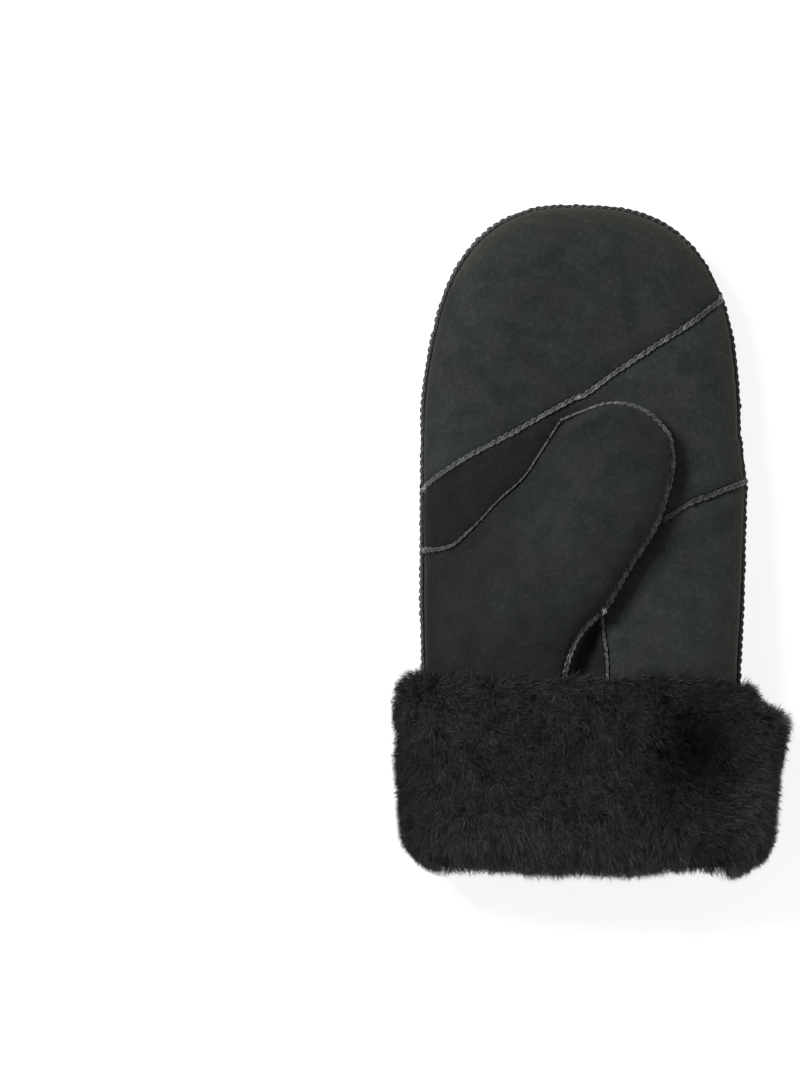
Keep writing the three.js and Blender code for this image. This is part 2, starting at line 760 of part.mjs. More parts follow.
// Room in the cuff for the thumb's root and its seam
const rootOuter = frontGrid.map((row, r) =>
  row.map(([x, y, z], c) => {
    const wide = besideRoute(edgeRoute, stationAt(r, FRONT_STOP), -SEAM_WIDTH);
    const place = c === row.length - 1 ? [wide.x, wide.y] : [x, y];
    return [...place, z + CUFF_CLEARANCE];
  }),
);
const rootInner = rootOuter.map((row) => row.map(([x, y]) => [x, y, 0]));
const furCuff = solidThrough(cuffRings)
  .subtract(handSolid(-CUFF_CLEARANCE, RIM_Y))
  .subtract(hollow(WRIST_Y - LONG_OVERCUT))
  .subtract(solidBetween(rootOuter, rootInner));

const nodes = {
  palm_finger_panel: pieceNear(palmPieces, 0, 95),
  palm_middle_panel: pieceNear(palmPieces, 30, 50),
  palm_heel_panel: pieceNear(palmPieces, 35, -60),
  thumb_front_panel: wallFrom(frontGrid, SKIN)
    .subtract(handSolid(liningInset - GAP, WRIST_Y - OVERCUT))
    .subtract(ridge(thumbEdgePoints, SEAM_CHANNEL, SEAM_CHANNEL)),
  thumb_back_panel: wallFrom(underGrid, SKIN),
  back_thumb_side_panel: pieceNear(backPieces, -52, 0),
  back_centre_panel: pieceNear(backPieces, -8, 0),
  back_outer_panel: pieceNear(backPieces, 45, 0),
  edge_seam: ridge(edgePoints, EDGE_SEAM_WIDTH, EDGE_SEAM),
  finger_seam: palmRidge(FINGER_SEAM, 26),
  thumb_base_seam: ridge(
    onSurface(baseRidgePlan, 15, onPalm),
    SEAM_WIDTH,
    SEAM_WIDTH,
  ),
  thumb_edge_seam: ridge(thumbEdgePoints, SEAM_WIDTH, SEAM_WIDTH),
  heel_seam: ridge(onSurface(heelVisible, 9, onPalm), SEAM_WIDTH, SEAM_WIDTH),
  thumb_gusset_seam: ridge(
    onSurface(gussetVisible, 12, onPalm),
    SEAM_WIDTH,
    SEAM_WIDTH,
  ),
  back_thumb_side_seam: backRidge(BACK_THUMB_SIDE_SEAM, 22),
  back_outer_seam: backRidge(BACK_OUTER_SEAM, 22),
  wool_lining: woolLining,
  fur_cuff: furCuff,
};

const LEATHER = { color: 0x2f3231, roughness: 0.95 };
const THREAD = { color: 0x3b3e3d, roughness: 0.8 };
const PILE = { color: 0x1e1d1d, roughness: 1 };
const finishOf = (name) => {
  if (name.endsWith("_seam")) return THREAD;
  return name === "wool_lining" || name === "fur_cuff" ? PILE : LEATHER;
};

// The last step: lift every point by the mid-plane's height, and make it a mesh
function finished(name, solid, finish) {
  const { vertProperties, triVerts, numProp } = solid.getMesh();
  const positions = [];
  for (let i = 0; i < vertProperties.length; i += numProp) {
    const [x, y, z] = vertProperties.subarray(i, i + 3);
    positions.push(x, y, z + liftAt(y));
  }
  const geometry = new THREE.BufferGeometry();
  geometry.setAttribute(
    "position",
    new THREE.Float32BufferAttribute(positions, 3),
  );
  geometry.setIndex([...triVerts]);
  geometry.computeVertexNormals();
  const mesh = new THREE.Mesh(
    geometry,
    new THREE.MeshStandardMaterial({ ...finish, metalness: 0 }),
  );
  mesh.name = name;
  return mesh;
}

const mitten = new THREE.Group();
mitten.name = "sheepskin_mitten";
for (const [name, solid] of Object.entries(nodes))
  mitten.add(finished(name, solid, finishOf(name)));

export default mitten;
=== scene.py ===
# %% [markdown]
# # A sheepskin mitten with whip-stitched seams and a turned-back wool cuff
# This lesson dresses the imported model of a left-hand mitten that lies palm up. The packed
# solids fix every size and place. The pieces made here give it what the solids leave out:
# suede that swells between its seams, thread that wraps the leather edges, and wool pile.

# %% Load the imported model
import math
import bpy
import numpy as np
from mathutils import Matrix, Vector, kdtree, noise


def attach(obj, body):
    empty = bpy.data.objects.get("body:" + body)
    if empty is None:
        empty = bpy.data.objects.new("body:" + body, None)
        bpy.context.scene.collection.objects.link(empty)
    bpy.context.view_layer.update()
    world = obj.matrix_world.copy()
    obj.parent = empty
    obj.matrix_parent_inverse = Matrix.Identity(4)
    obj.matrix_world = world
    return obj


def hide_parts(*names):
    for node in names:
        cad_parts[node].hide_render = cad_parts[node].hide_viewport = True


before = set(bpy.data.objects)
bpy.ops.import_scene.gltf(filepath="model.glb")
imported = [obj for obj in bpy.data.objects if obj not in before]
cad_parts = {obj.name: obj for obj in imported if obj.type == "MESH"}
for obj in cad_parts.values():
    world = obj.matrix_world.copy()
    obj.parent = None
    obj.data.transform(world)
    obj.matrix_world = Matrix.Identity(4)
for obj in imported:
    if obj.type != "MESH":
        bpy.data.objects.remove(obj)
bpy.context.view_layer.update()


# %% [markdown]
# ## Camera, floor and light
# The mitten was photographed from straight above, so the camera looks along -Z. A very
# long lens far away keeps the high thumb from looking larger than it is. The mitten lies
# right of the middle of the frame, as it does in the photograph.

# %% The camera
MM = 0.001
FRAME_CENTRE = (-75.9, 4.7)
FRAME_HEIGHT = 416
OUTLINE_LEVEL = 22
CAMERA_HEIGHT = 8000
SENSOR = 24

camera_data = bpy.data.cameras.new("camera")
camera_data.sensor_fit = "VERTICAL"
camera_data.sensor_height = SENSOR
camera_data.lens = SENSOR * (CAMERA_HEIGHT - OUTLINE_LEVEL) / FRAME_HEIGHT
camera = bpy.data.objects.new("camera", camera_data)
camera.location = Vector((*FRAME_CENTRE, CAMERA_HEIGHT)) * MM
bpy.context.scene.collection.objects.link(camera)
bpy.context.scene.camera = camera
print("lens:", round(camera_data.lens, 1), "mm")


# %% [markdown]
# A colour is given as an sRGB hex value, while shaders work in linear light, so
# one function turns the first into the second. One more function adds a shader node with
# its settings, values and links, so that each material below reads as a short list.

# %% Colour and node helpers
MIX = "ShaderNodeMix"
MATH = "ShaderNodeMath"
NOISE = "ShaderNodeTexNoise"
BUMP = "ShaderNodeBump"
RGBA = {"data_type": "RGBA"}


def linear(hex_colour):
    channels = [int(hex_colour[i : i + 2], 16) / 255 for i in (1, 3, 5)]
    return [c / 12.92 if c <= 0.04045 else ((c + 0.055) / 1.055) ** 2.4 for c in channels] + [1.0]


def fill(sockets, values):
    for socket, value in values.items():
        sockets[socket].default_value = value


def add_node(tree, kind, settings={}, values={}, links={}, out=0):
    """Adds a node, and gives back the output of it that is used"""
    node = tree.nodes.new(kind)
    for name, value in settings.items():
        setattr(node, name, value)
    fill(node.inputs, values)
    for socket, source in links.items():
        tree.links.new(source, node.inputs[socket])
    return node.outputs[out]


def new_material(name, values):
    material = bpy.data.materials.new(name)
    material.use_nodes = True
    shader = material.node_tree.nodes["Principled BSDF"]
    fill(shader.inputs, values)
    return material, material.node_tree, shader.inputs


# %% [markdown]
# The floor is a white panel lit from inside, as used for pictures on a clean white ground.
# It leaves only a faint shadow. It glows by itself and reflects little, so it hardly lights
# the black leather from below.

# %% The floor
bpy.ops.object.select_all(action="DESELECT")
bpy.ops.mesh.primitive_plane_add(size=6, location=(0, 0, -0.0001))
floor = bpy.context.object
floor.name = "floor"
glow = {"Emission Color": linear("#ffffff"), "Emission Strength": 0.85}
light_panel, _, _ = new_material(
    "white_light_panel", {"Base Color": linear("#8c8c8c"), "Roughness": 0.9, **glow}
)
floor.data.materials.append(light_panel)


# %% [markdown]
# Black suede shows its form only by soft shading, so the light is plain and wide: a white
# sky for the even part, and one broad lamp high on the left that puts a soft shadow to the
# right of the thumb and below the seams.

# %% Light
SKY_STRENGTH = 0.42
KEY_PLACE = (-0.94, 0.74, 1.45)
KEY_SIZE = 0.5
KEY_POWER = 35

world = bpy.data.worlds.new("studio")
world.use_nodes = True
sky = world.node_tree.nodes["Background"]
sky.inputs["Color"].default_value = linear("#ffffff")
sky.inputs["Strength"].default_value = SKY_STRENGTH
bpy.context.scene.world = world

key_data = bpy.data.lights.new("key", "AREA")
key_data.size = KEY_SIZE
key_data.energy = KEY_POWER
key = bpy.data.objects.new("key", key_data)
key.location = KEY_PLACE
key.rotation_euler = (-Vector(KEY_PLACE)).to_track_quat("-Z", "Y").to_euler()
bpy.context.scene.collection.objects.link(key)
bpy.context.scene.view_settings.view_transform = "Standard"
print("key lamp at", KEY_PLACE)


# %% [markdown]
# ## Materials
# Sheepskin has two sides. The skin side is buffed to suede: a short nap that scatters
# light, so it is matt, a little uneven in tone, and slightly brighter where it turns away
# from the eye, which is what sheen does. The nap is blotchy at 1 to 2 mm, the tone wanders
# over about 9 mm, loose fibres catch the light as short curls, and fine creases of a few
# millimetres run where the skin was folded. Each panel is given a tone of its own, which also
# carries painted shade and painted light, and the rounded right edge is painted a warmer,
# lighter grey: partly rubbed dye, partly painted sheen.

# %% Suede
# Each pattern's size in mm and its detail
PATTERN_MM = {
    "mottle": (9, 5),
    "warmth": (18, 3),
    "nap": (1.7, 4),
    "fibre": (0.5, 2),
    "curl": (2.4, 3),
    "crease": (7, 2),
}
# The pattern that is read, then the range of its values and the range they are moved to
RANGES = {
    "blotches": ("mottle", 0.36, 0.64, 0, 1),
    "warm": ("warmth", 0.48, 0.66, 0, 0.38),
    "specks": ("nap", 0.53, 0.62, 0, 0.38),
    "buffing": ("nap", 0.32, 0.68, 0.86, 1.12),
}
CURL_WIDTH = 0.035
CREASE_WIDTH = 0.025

matt = {"Roughness": 0.92, "Specular IOR Level": 0.18}
sheen = {"Sheen Weight": 0.06, "Sheen Roughness": 0.45, "Sheen Tint": linear("#b9b8b0")}
suede, tree, shader = new_material("black_sheepskin_suede", {**matt, **sheen})
place = add_node(tree, "ShaderNodeTexCoord", out="Object")
pattern = {}
for name, (size, detail) in PATTERN_MM.items():
    values = {"Scale": 1000 / size, "Detail": detail, "Roughness": 0.6}
    pattern[name] = add_node(tree, NOISE, {}, values, {"Vector": place}, "Fac")
for name, (source, *limits) in RANGES.items():
    values = dict(zip(("From Min", "From Max", "To Min", "To Max"), limits))
    links = {"Value": pattern[source]}
    pattern[name] = add_node(tree, "ShaderNodeMapRange", {}, values, links, "Result")
for name in ("edge_wear_and_sheen", "hide_tone", "folded"):
    pattern[name] = add_node(tree, "ShaderNodeAttribute", {"attribute_name": name}, out="Fac")

dyes = {6: linear("#1f2322"), 7: linear("#282c2b")}
body = add_node(tree, MIX, RGBA, dyes, {0: pattern["blotches"]}, 2)
warmed = add_node(tree, MIX, RGBA, {7: linear("#272323")}, {0: pattern["warm"], 6: body}, 2)
# Rubbed dye and painted sheen: the rounded right edge is mixed towards a warmer, lighter grey
worn_and_sheened = add_node(tree, MIX, RGBA, {7: linear("#34362f")}, {0: pattern["edge_wear_and_sheen"], 6: warmed}, 2)
at_curl = {1: 0.5, 2: CURL_WIDTH}
curl_line = add_node(tree, MATH, {"operation": "COMPARE"}, at_curl, {0: pattern["curl"]})
links = {0: curl_line, 1: pattern["specks"], 2: pattern["buffing"]}
speck = add_node(tree, MATH, {"operation": "MULTIPLY_ADD"}, {}, links)
tone = add_node(tree, MATH, {"operation": "MULTIPLY"}, {}, {0: speck, 1: pattern["hide_tone"]})
toned = add_node(tree, "ShaderNodeHueSaturation", {}, {}, {"Value": tone, "Color": worn_and_sheened})
tree.links.new(toned, shader["Base Color"])

at_crease = {1: 0.5, 2: CREASE_WIDTH}
crease_line = add_node(tree, MATH, {"operation": "COMPARE"}, at_crease, {0: pattern["crease"]})
links = {0: crease_line, 1: pattern["folded"]}
creases = add_node(tree, MATH, {"operation": "MULTIPLY"}, {}, links)
links = {0: pattern["nap"], 2: pattern["fibre"]}
grain = add_node(tree, MATH, {"operation": "MULTIPLY_ADD"}, {1: 0.7}, links)
height = add_node(tree, MATH, {"operation": "SUBTRACT"}, {}, {0: grain, 1: creases})
bump = add_node(tree, BUMP, {}, {"Strength": 0.4, "Distance": 0.0004}, {"Height": height})
tree.links.new(bump, shader["Normal"])


# %% [markdown]
# The seams are sewn with a waxed, twisted thread. Wax gives it a tight highlight, and its
# colour is painted lighter than the dark thread, as a painted highlight; together they make
# a black seam show on black suede. The painted highlight differs from stitch to stitch:
# the ThreadMap's U holds one tone for each stitch, and its V runs along the thread, where
# the twist shows as fine turns. Beside the thread the squeezed edges of the leather stand
# up in two rows of small beads, rubbed shiny and painted lighter, as a painted highlight.
# The same map's U holds the tone of each bead, and each seam sets how strong the painted
# highlight of its thread and beads is.

# %% Thread and squeezed leather
FUZZ_MM = 0.8
TWISTS = 3

wax = {"Roughness": 0.36, "Specular IOR Level": 0.6}
waxed_thread, tree, shader = new_material("waxed_sewing_thread", wax)
thread_map = add_node(tree, "ShaderNodeUVMap", {"uv_map": "ThreadMap"})
tone_with_painted_light = add_node(tree, "ShaderNodeSeparateXYZ", {}, {}, {"Vector": thread_map})
# Painted highlight: the light end of this range paints the thread's glints
dyes = {6: linear("#1a1c1c"), 7: linear("#b4b8b7")}
tree.links.new(add_node(tree, MIX, RGBA, dyes, {0: tone_with_painted_light}, 2), shader["Base Color"])
settings = {"bands_direction": "Y"}
twist = add_node(tree, "ShaderNodeTexWave", settings, {"Scale": TWISTS}, {"Vector": thread_map}, "Fac")
bump = add_node(tree, BUMP, {}, {"Strength": 0.5, "Distance": 0.0001}, {"Height": twist})
tree.links.new(bump, shader["Normal"])

rubbed = {"Roughness": 0.42, "Specular IOR Level": 0.5}
squeezed_leather, tree, shader = new_material("squeezed_leather_edge", rubbed)
bead_map = add_node(tree, "ShaderNodeUVMap", {"uv_map": "ThreadMap"})
tone_with_painted_light = add_node(tree, "ShaderNodeSeparateXYZ", {}, {}, {"Vector": bead_map})
# Painted highlight: the light end of this range paints the glints on the beads
dyes = {6: linear("#101211"), 7: linear("#585c5a")}
tree.links.new(add_node(tree, MIX, RGBA, dyes, {0: tone_with_painted_light}, 2), shader["Base Color"])
place = add_node(tree, "ShaderNodeTexCoord", out="Object")
values = {"Scale": 1000 / FUZZ_MM, "Detail": 4, "Roughness": 0.7}
fuzz = add_node(tree, NOISE, {}, values, {"Vector": place}, "Fac")
bump = add_node(tree, BUMP, {}, {"Strength": 0.6, "Distance": 0.0003}, {"Height": fuzz})
tree.links.new(bump, shader["Normal"])


# %% [markdown]
# The wool side keeps its pile: dyed fleece, clipped to 8 or 9 mm. Each fibre is darkest at
# its root, where the dye is full and little light gets in, and a little lighter at its tip.
# The fibres carry a UV map for this: V runs from root to tip, and U holds the tone of the
# fibre, which is 1 at a quarter and carries the painted shade and painted light of the pile's
# patches. The felted underwool is painted nearly black, darker than the fibres, as painted
# shade deep in the pile.

# %% Wool
CURL_MM = 2.2

dull = {"Roughness": 0.55, "Specular IOR Level": 0.08}
dyed_wool, tree, shader = new_material("dyed_wool_pile", dull)
pile_map = add_node(tree, "ShaderNodeUVMap", {"uv_map": "PileMap"})
tone_with_painted_light = add_node(tree, "ShaderNodeSeparateXYZ", {}, {}, {"Vector": pile_map})
along_fibre = tone_with_painted_light.node.outputs["Y"]
dyes = {6: linear("#0d0c0c"), 7: linear("#353434")}
root_to_tip = add_node(tree, MIX, RGBA, dyes, {0: along_fibre}, 2)
tone_with_painted_light = add_node(tree, MATH, {"operation": "MULTIPLY"}, {1: 4.0}, {0: tone_with_painted_light})
links = {"Value": tone_with_painted_light, "Color": root_to_tip}
shaded = add_node(tree, "ShaderNodeHueSaturation", {}, {}, links)
tree.links.new(shaded, shader["Base Color"])

felt = {"Roughness": 1.0, "Specular IOR Level": 0.1}
underwool, tree, shader = new_material("felted_underwool", felt)
place = add_node(tree, "ShaderNodeTexCoord", out="Object")
values = {"Scale": 1000 / CURL_MM, "Detail": 5, "Distortion": 1.2}
curls = add_node(tree, NOISE, {}, values, {"Vector": place}, "Fac")
# Painted shade: the underwool is darker than the fibres, as the shade deep in the pile
dyes = {6: linear("#080808"), 7: linear("#161414")}
tree.links.new(add_node(tree, MIX, RGBA, dyes, {0: curls}, 2), shader["Base Color"])
bump = add_node(tree, BUMP, {}, {"Strength": 0.8, "Distance": 0.001}, {"Height": curls})
tree.links.new(bump, shader["Normal"])


# %% [markdown]
# ## The shape of the hand
# The mitten is a flat pillow: straight sides, a rounded finger end, and a steep turn down
# to the seam round its edge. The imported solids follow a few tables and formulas, in
# millimetres, and the finer sheets made here follow the same ones, so each lies where its
# solid does. Heights are counted from a mid-plane that rises towards the thick cuff. The
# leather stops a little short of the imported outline, and the edge seam takes up the rest.

# %% Tables and formulas of the hand
TIP_Y = 132.9
FINGER_BASE_Y = 42
WRIST_Y = -118
CENTRE_X = -10.3
FINGER_LEFT = 57.4
FINGER_RIGHT = 67.2
LEFT_ROUNDNESS = 2.35
RIGHT_ROUNDNESS = 2.75
EDGE_ROUNDNESS = 5
EDGE_TUCK = 1.0
SKIN = 1.5
WOOL = 6
LINING_INSET = 2.3
HAND_ROWS = {
    "y": (-140, -90, -48, -20, 8, 22, 45, 140),
    "left": (-65, -66, -67, -67.7, -67.7, -67.7, -67.7, -67.7),
    "right": (54, 55.5, 56.4, 58, 59, 59.6, 56.9, 56.9),
    "half": (18, 18, 19.5, 20, 20, 19.5, 18.5, 17.5),
}
LIFT_STATIONS = (-118, -83, -71, -59, -47, -35, -23, -11, 1, 13, 22, 33, 45)
FINGER_MID_Z = 17
WRIST_MID_Z = 29


def smooth(start, end, value):
    t = np.clip((value - start) / (end - start), 0, 1)
    return t * t * (3 - 2 * t)


def row_at(rows, y, column):
    return np.interp(y, rows["y"], rows[column])


def lift(y):
    stations = np.array(LIFT_STATIONS, float)
    heights = FINGER_MID_Z + (WRIST_MID_Z - FINGER_MID_Z) * (1 - smooth(-80, 40, stations))
    return np.interp(y, stations, heights)


def finger_width(y, on_left):
    """The fingers' half width on one side, a little hollow half way up"""
    hollow = np.exp(-(((y - 82) / 24) ** 2))
    return np.where(on_left, FINGER_LEFT - hollow, FINGER_RIGHT - 0.5 * hollow) - EDGE_TUCK


def side_width(y, on_left):
    side = np.where(on_left, row_at(HAND_ROWS, y, "left"), row_at(HAND_ROWS, y, "right"))
    return np.abs(side - CENTRE_X) - EDGE_TUCK


def reach(x, y, inset=0):
    """How far out a place lies: 0 in the middle, 1 on the outline"""
    on_left = x < CENTRE_X
    across = np.abs(x - CENTRE_X)
    straight = across / (side_width(y, on_left) - inset)
    n = np.where(on_left, LEFT_ROUNDNESS, RIGHT_ROUNDNESS)
    width = finger_width(y, on_left) - inset
    up = np.maximum(0, y - FINGER_BASE_Y) / (TIP_Y - EDGE_TUCK - FINGER_BASE_Y - inset)
    rounded = ((across / width) ** n + up**n) ** (1 / n)
    return np.where(y <= FINGER_BASE_Y, straight, rounded)


def hand_half(x, y, inset=0):
    rounding = 1 - np.minimum(1, reach(x, y, inset)) ** EDGE_ROUNDNESS
    return (row_at(HAND_ROWS, y, "half") - inset) * np.sqrt(rounding)


def palm_height(x, y, inset=0):
    return hand_half(x, y, inset) + lift(y)


def back_height(x, y, inset=0):
    return np.maximum(lift(y) - hand_half(x, y, inset), inset)


print("palm at the middle:", round(float(palm_height(0, 0)), 1), "mm over the floor")


# %% [markdown]
# ## Lines on the hand
# Every seam is a rounded line through a few points. The line is cut into even steps, so
# that a place on it can be asked for by its share of the length. That is how each leather
# panel finds its borders, and how the stitches find their places.

# %% Rounded lines
def lengths_of(line):
    steps = np.linalg.norm(np.diff(line, axis=0), axis=1)
    return np.concatenate([[0], np.cumsum(steps)])


def sampled(line, values, share):
    """Values that belong to the points of a line, at shares of its length"""
    lengths = lengths_of(line)
    goal = np.clip(share, 0, 1) * lengths[-1]
    return np.stack([np.interp(goal, lengths, column) for column in values.T], axis=-1)


def along(line, share):
    return sampled(line, line, share)


def rounded_line(points, spacing=0.5):
    ends = np.array(points, float)
    p = np.vstack([2 * ends[0] - ends[1], ends, 2 * ends[-1] - ends[-2]])
    pieces = []
    for a, b, c, d in zip(p, p[1:], p[2:], p[3:]):
        gaps = [np.linalg.norm(q - r) ** 0.5 for q, r in ((b, a), (c, b), (d, c))]
        t0, t1, t2, t3 = np.concatenate([[0], np.cumsum(gaps)])
        t = np.linspace(t1, t2, 24, endpoint=False)[:, None]
        ab = (t1 - t) / (t1 - t0) * a + (t - t0) / (t1 - t0) * b
        bc = (t2 - t) / (t2 - t1) * b + (t - t1) / (t2 - t1) * c
        cd = (t3 - t) / (t3 - t2) * c + (t - t2) / (t3 - t2) * d
        abc = (t2 - t) / (t2 - t0) * ab + (t - t0) / (t2 - t0) * bc
        bcd = (t3 - t) / (t3 - t1) * bc + (t - t1) / (t3 - t1) * cd
        pieces.append((t2 - t) / (t2 - t1) * abc + (t - t1) / (t2 - t1) * bcd)
    line = np.vstack([*pieces, ends[-1:]])
    count = max(2, int(round(lengths_of(line)[-1] / spacing)))
    return along(line, np.linspace(0, 1, count + 1))


def on_hand(points, limit=1.0):
    """A rounded line, cut off where it leaves the hand's outline"""
    line = rounded_line(points)
    return line[reach(line[:, 0], line[:, 1]) <= limit]


def moved_aside(line, distance):
    ahead = np.gradient(line, axis=0)
    ahead /= np.linalg.norm(ahead, axis=1)[:, None]
    return line + np.asarray(distance)[..., None] * np.stack([-ahead[:, 1], ahead[:, 0]], axis=1)


def outline_line():
    """The hand's outline from the left of the wrist, over the tip, to the right of it"""
    y = np.linspace(WRIST_Y, FINGER_BASE_Y, 260)
    left = np.stack([CENTRE_X - side_width(y, True), y], axis=1)
    right = np.stack([CENTRE_X + side_width(y, False), y], axis=1)
    turn = np.linspace(0, math.pi / 2, 240)
    arcs = []
    for n, on_left, sign in ((LEFT_ROUNDNESS, True, -1), (RIGHT_ROUNDNESS, False, 1)):
        up = FINGER_BASE_Y + (TIP_Y - EDGE_TUCK - FINGER_BASE_Y) * np.sin(turn) ** (2 / n)
        across = CENTRE_X + sign * finger_width(up, on_left) * np.cos(turn) ** (2 / n)
        arcs.append(np.stack([across, up], axis=1))
    line = np.vstack([left, arcs[0], arcs[1][::-1], right[::-1]])
    return along(line, np.linspace(0, 1, 1400))


def between(line, start, end):
    nearest = [np.argmin(np.linalg.norm(line - np.array(p), axis=1)) for p in (start, end)]
    first, last = nearest
    return line[first : last + 1] if first <= last else line[last : first + 1][::-1]


# %% Where the seams run, in plan
CORNER = (-13.5, 48.6)
FINGER_SEAM = on_hand(
    [(-68.1, 20.9), (-61.8, 26.3), (-50.9, 33.7), (-33.2, 43.2), (-16.1, 52.9), (-7.6, 57.3)]
    + [(-4.6, 58.2), (6.8, 66.5), (22.5, 77.0), (38.3, 87.2), (50.3, 96.8)]
)
THUMB_BASE_SEAM = on_hand(
    [(-67.3, -2.1), (-56.4, -0.4), (-48.6, 6.0), (-37.5, 17.7), (-27.8, 26.7), (-21.6, 35.9), CORNER]
)
THUMB_EDGE_SEAM = rounded_line(
    [CORNER, (-6.0, 51.8), (6.4, 55.4), (17.9, 53.1), (28.0, 43.6), (30.0, 33.5), (27.7, 21.1)]
    + [(22.2, 5.7), (12.5, -9.2), (3.2, -24.6), (-4.5, -32.3), (-9.6, -41.7), (-13, -60), (-15, -118)]
)
THUMB_CROTCH = rounded_line(
    [CORNER, (-1.8, 29.4), (4.1, 6.0), (4.2, -12), (2.8, -24)]
    + [(3.0, -32.3), (4.4, -42.4), (4.8, -60), (5, -118)]
)
HEEL_SEAM = on_hand([(4.2, -3), (14, 3.5), (25.3, 9.2), (36.5, 16.2), (46.2, 20.1), (60.4, 25.4)])
BACK_THUMB_SIDE_SEAM = on_hand(
    [(-40, 122.3), (-35.5, 103.2), (-34.5, 59.1), (-33.7, 11.5), (-25.0, -48.6), (-22, -118)]
)
BACK_OUTER_SEAM = on_hand([(24.0, 124.7), (24.0, 77.0), (21.8, 24.0), (14.8, -48.6), (12, -118)])
OUTLINE = outline_line()
print("outline:", round(lengths_of(OUTLINE)[-1]), "mm round")


# %% [markdown]
# The thumb is a tube of two panels that grows out of the palm. Its front starts at the
# hand's edge and the base seam, swells up, and comes down beside its own seam. Its
# underside starts below that seam and goes back to the palm. By the wrist it sags between
# two seams, which makes a dark hollow there. Both follow the formulas of the solids.

# %% Formulas of the thumb
THUMB_HEIGHT = 18
THUMB_SEAM_HEIGHT = 8
CORNER_SEAM_HEIGHT = 1.9
THUMB_ROUND = 15
FRONT_GAP = 0.4
UNDER_GAP = 1.1
HOLLOW_DEPTH = 6
BORDER_MATCH = {
    "y": (0, 0.25, 0.4, 0.6, 0.78, 0.88, 1),
    "border": (0, 0.36, 0.55, 0.7, 0.83, 0.92, 1),
    "join": (0, 0.4, 0.52, 0.67, 0.8, 0.89, 1),
}
thumb_edge = THUMB_EDGE_SEAM[::-1]
thumb_join = moved_aside(THUMB_CROTCH[::-1], 0.8)
hand_side_y = np.linspace(WRIST_Y, -4.5, 200)
thumb_border = np.vstack(
    [
        np.stack([CENTRE_X - side_width(hand_side_y, True) + 0.1, hand_side_y], axis=1),
        moved_aside(THUMB_BASE_SEAM, -0.8)[2:],
    ]
)


def thumb_growth(y):
    return smooth(-72, -15, y)


def seam_height(p):
    from_corner = np.linalg.norm(p - THUMB_EDGE_SEAM[0], axis=-1)
    full = CORNER_SEAM_HEIGHT + (THUMB_SEAM_HEIGHT - CORNER_SEAM_HEIGHT) * smooth(0, 30, from_corner)
    return full * thumb_growth(p[..., 1])


def beside_edge(t, distance):
    step = along(thumb_edge, t + 0.01) - along(thumb_edge, t - 0.01)
    step /= np.linalg.norm(step, axis=-1)[..., None]
    aside = np.stack([-step[..., 1], step[..., 0]], axis=-1)
    return along(thumb_edge, t) + aside * np.asarray(distance)[..., None]


def thumb_front(t, u):
    seam = along(thumb_edge, t)
    edge = beside_edge(t, FRONT_GAP + 0 * t)
    border = along(thumb_border, row_at(BORDER_MATCH, t, "border"))
    chord = np.linalg.norm(edge - border, axis=-1)
    p = border + (edge - border) * u[..., None]
    low = seam_height(seam) * smooth(0, 0.5, u)
    full = THUMB_HEIGHT * smooth(0, 0.7, u) * smooth(0, 34, chord)
    crest = np.maximum(low, full * thumb_growth(p[..., 1]))
    away = np.minimum(1, (1 - u) * chord / THUMB_ROUND)
    rounding = np.sqrt(1 - (1 - away) ** 2.2)
    rise = low + (crest - low) * rounding
    x, y = p[..., 0], p[..., 1]
    return np.stack([x, y, palm_height(x, y) + rise], axis=-1)


def thumb_under(t, u):
    seam = along(thumb_edge, t)
    turn = thumb_growth(seam[..., 1]) * math.pi / 2
    edge = beside_edge(t, -UNDER_GAP * np.cos(turn))
    join = along(thumb_join, row_at(BORDER_MATCH, t, "join"))
    p = edge + (join - edge) * u[..., None]
    x, y = p[..., 0], p[..., 1]
    rest = 0.6 * smooth(-40, -22, y)
    top = np.maximum(rest, seam_height(seam) - UNDER_GAP * np.sin(turn))
    out = 1 - np.minimum(1, u / 0.45)
    fall = 1 - np.sqrt(1 - out * out)
    sag = HOLLOW_DEPTH * np.sin(math.pi * np.clip(u, 0, 1)) ** 0.7 * smooth(-25, -40, y)
    return np.stack([x, y, palm_height(x, y) + rest + (top - rest) * fall - sag], axis=-1)


# %% [markdown]
# ## Leather panels
# A real panel is a flat piece of skin that is pulled into its seams, so it dips at the
# stitches, swells a little beside them and puckers between them. Each panel starts as a
# grid primitive. The grid is laid between four border lines, given the hand's height,
# pushed in and out along its normals by its distance to the nearest seam, and made a skin
# 1.5 mm thick with Solidify. Columns crowd together where the leather turns down steeply.

# %% Grids between borders
def crowded(share, at_start=False, at_end=False, zone=0.3):
    """Even shares, moved closer together near one end or both"""
    t = np.asarray(share, float)
    if at_start:
        t = 1 - crowded(1 - t, False, True, zone)
    if at_end:
        last = 1 - zone / 2 * ((1 - t) / zone) ** 2
        t = np.where(t > 1 - zone, last, t * (1 - zone / 2) / (1 - zone))
    return t


def laid_between(bottom, top, left, right, u, v):
    corners = [bottom(0 * u), bottom(0 * u + 1), top(0 * u), top(0 * u + 1)]
    u1, v1 = u[..., None], v[..., None]
    rows = (1 - v1) * bottom(u) + v1 * top(u)
    columns = (1 - u1) * left(v) + u1 * right(v)
    low = (1 - u1) * corners[0] + u1 * corners[1]
    high = (1 - u1) * corners[2] + u1 * corners[3]
    return rows + columns - (1 - v1) * low - v1 * high


def places_of(piece, kind="co"):
    flat = np.empty(len(piece.data.vertices) * 3)
    piece.data.vertices.foreach_get(kind, flat)
    return flat.reshape(-1, 3)


def set_places(piece, places):
    piece.data.vertices.foreach_set("co", places.ravel())
    piece.data.update()


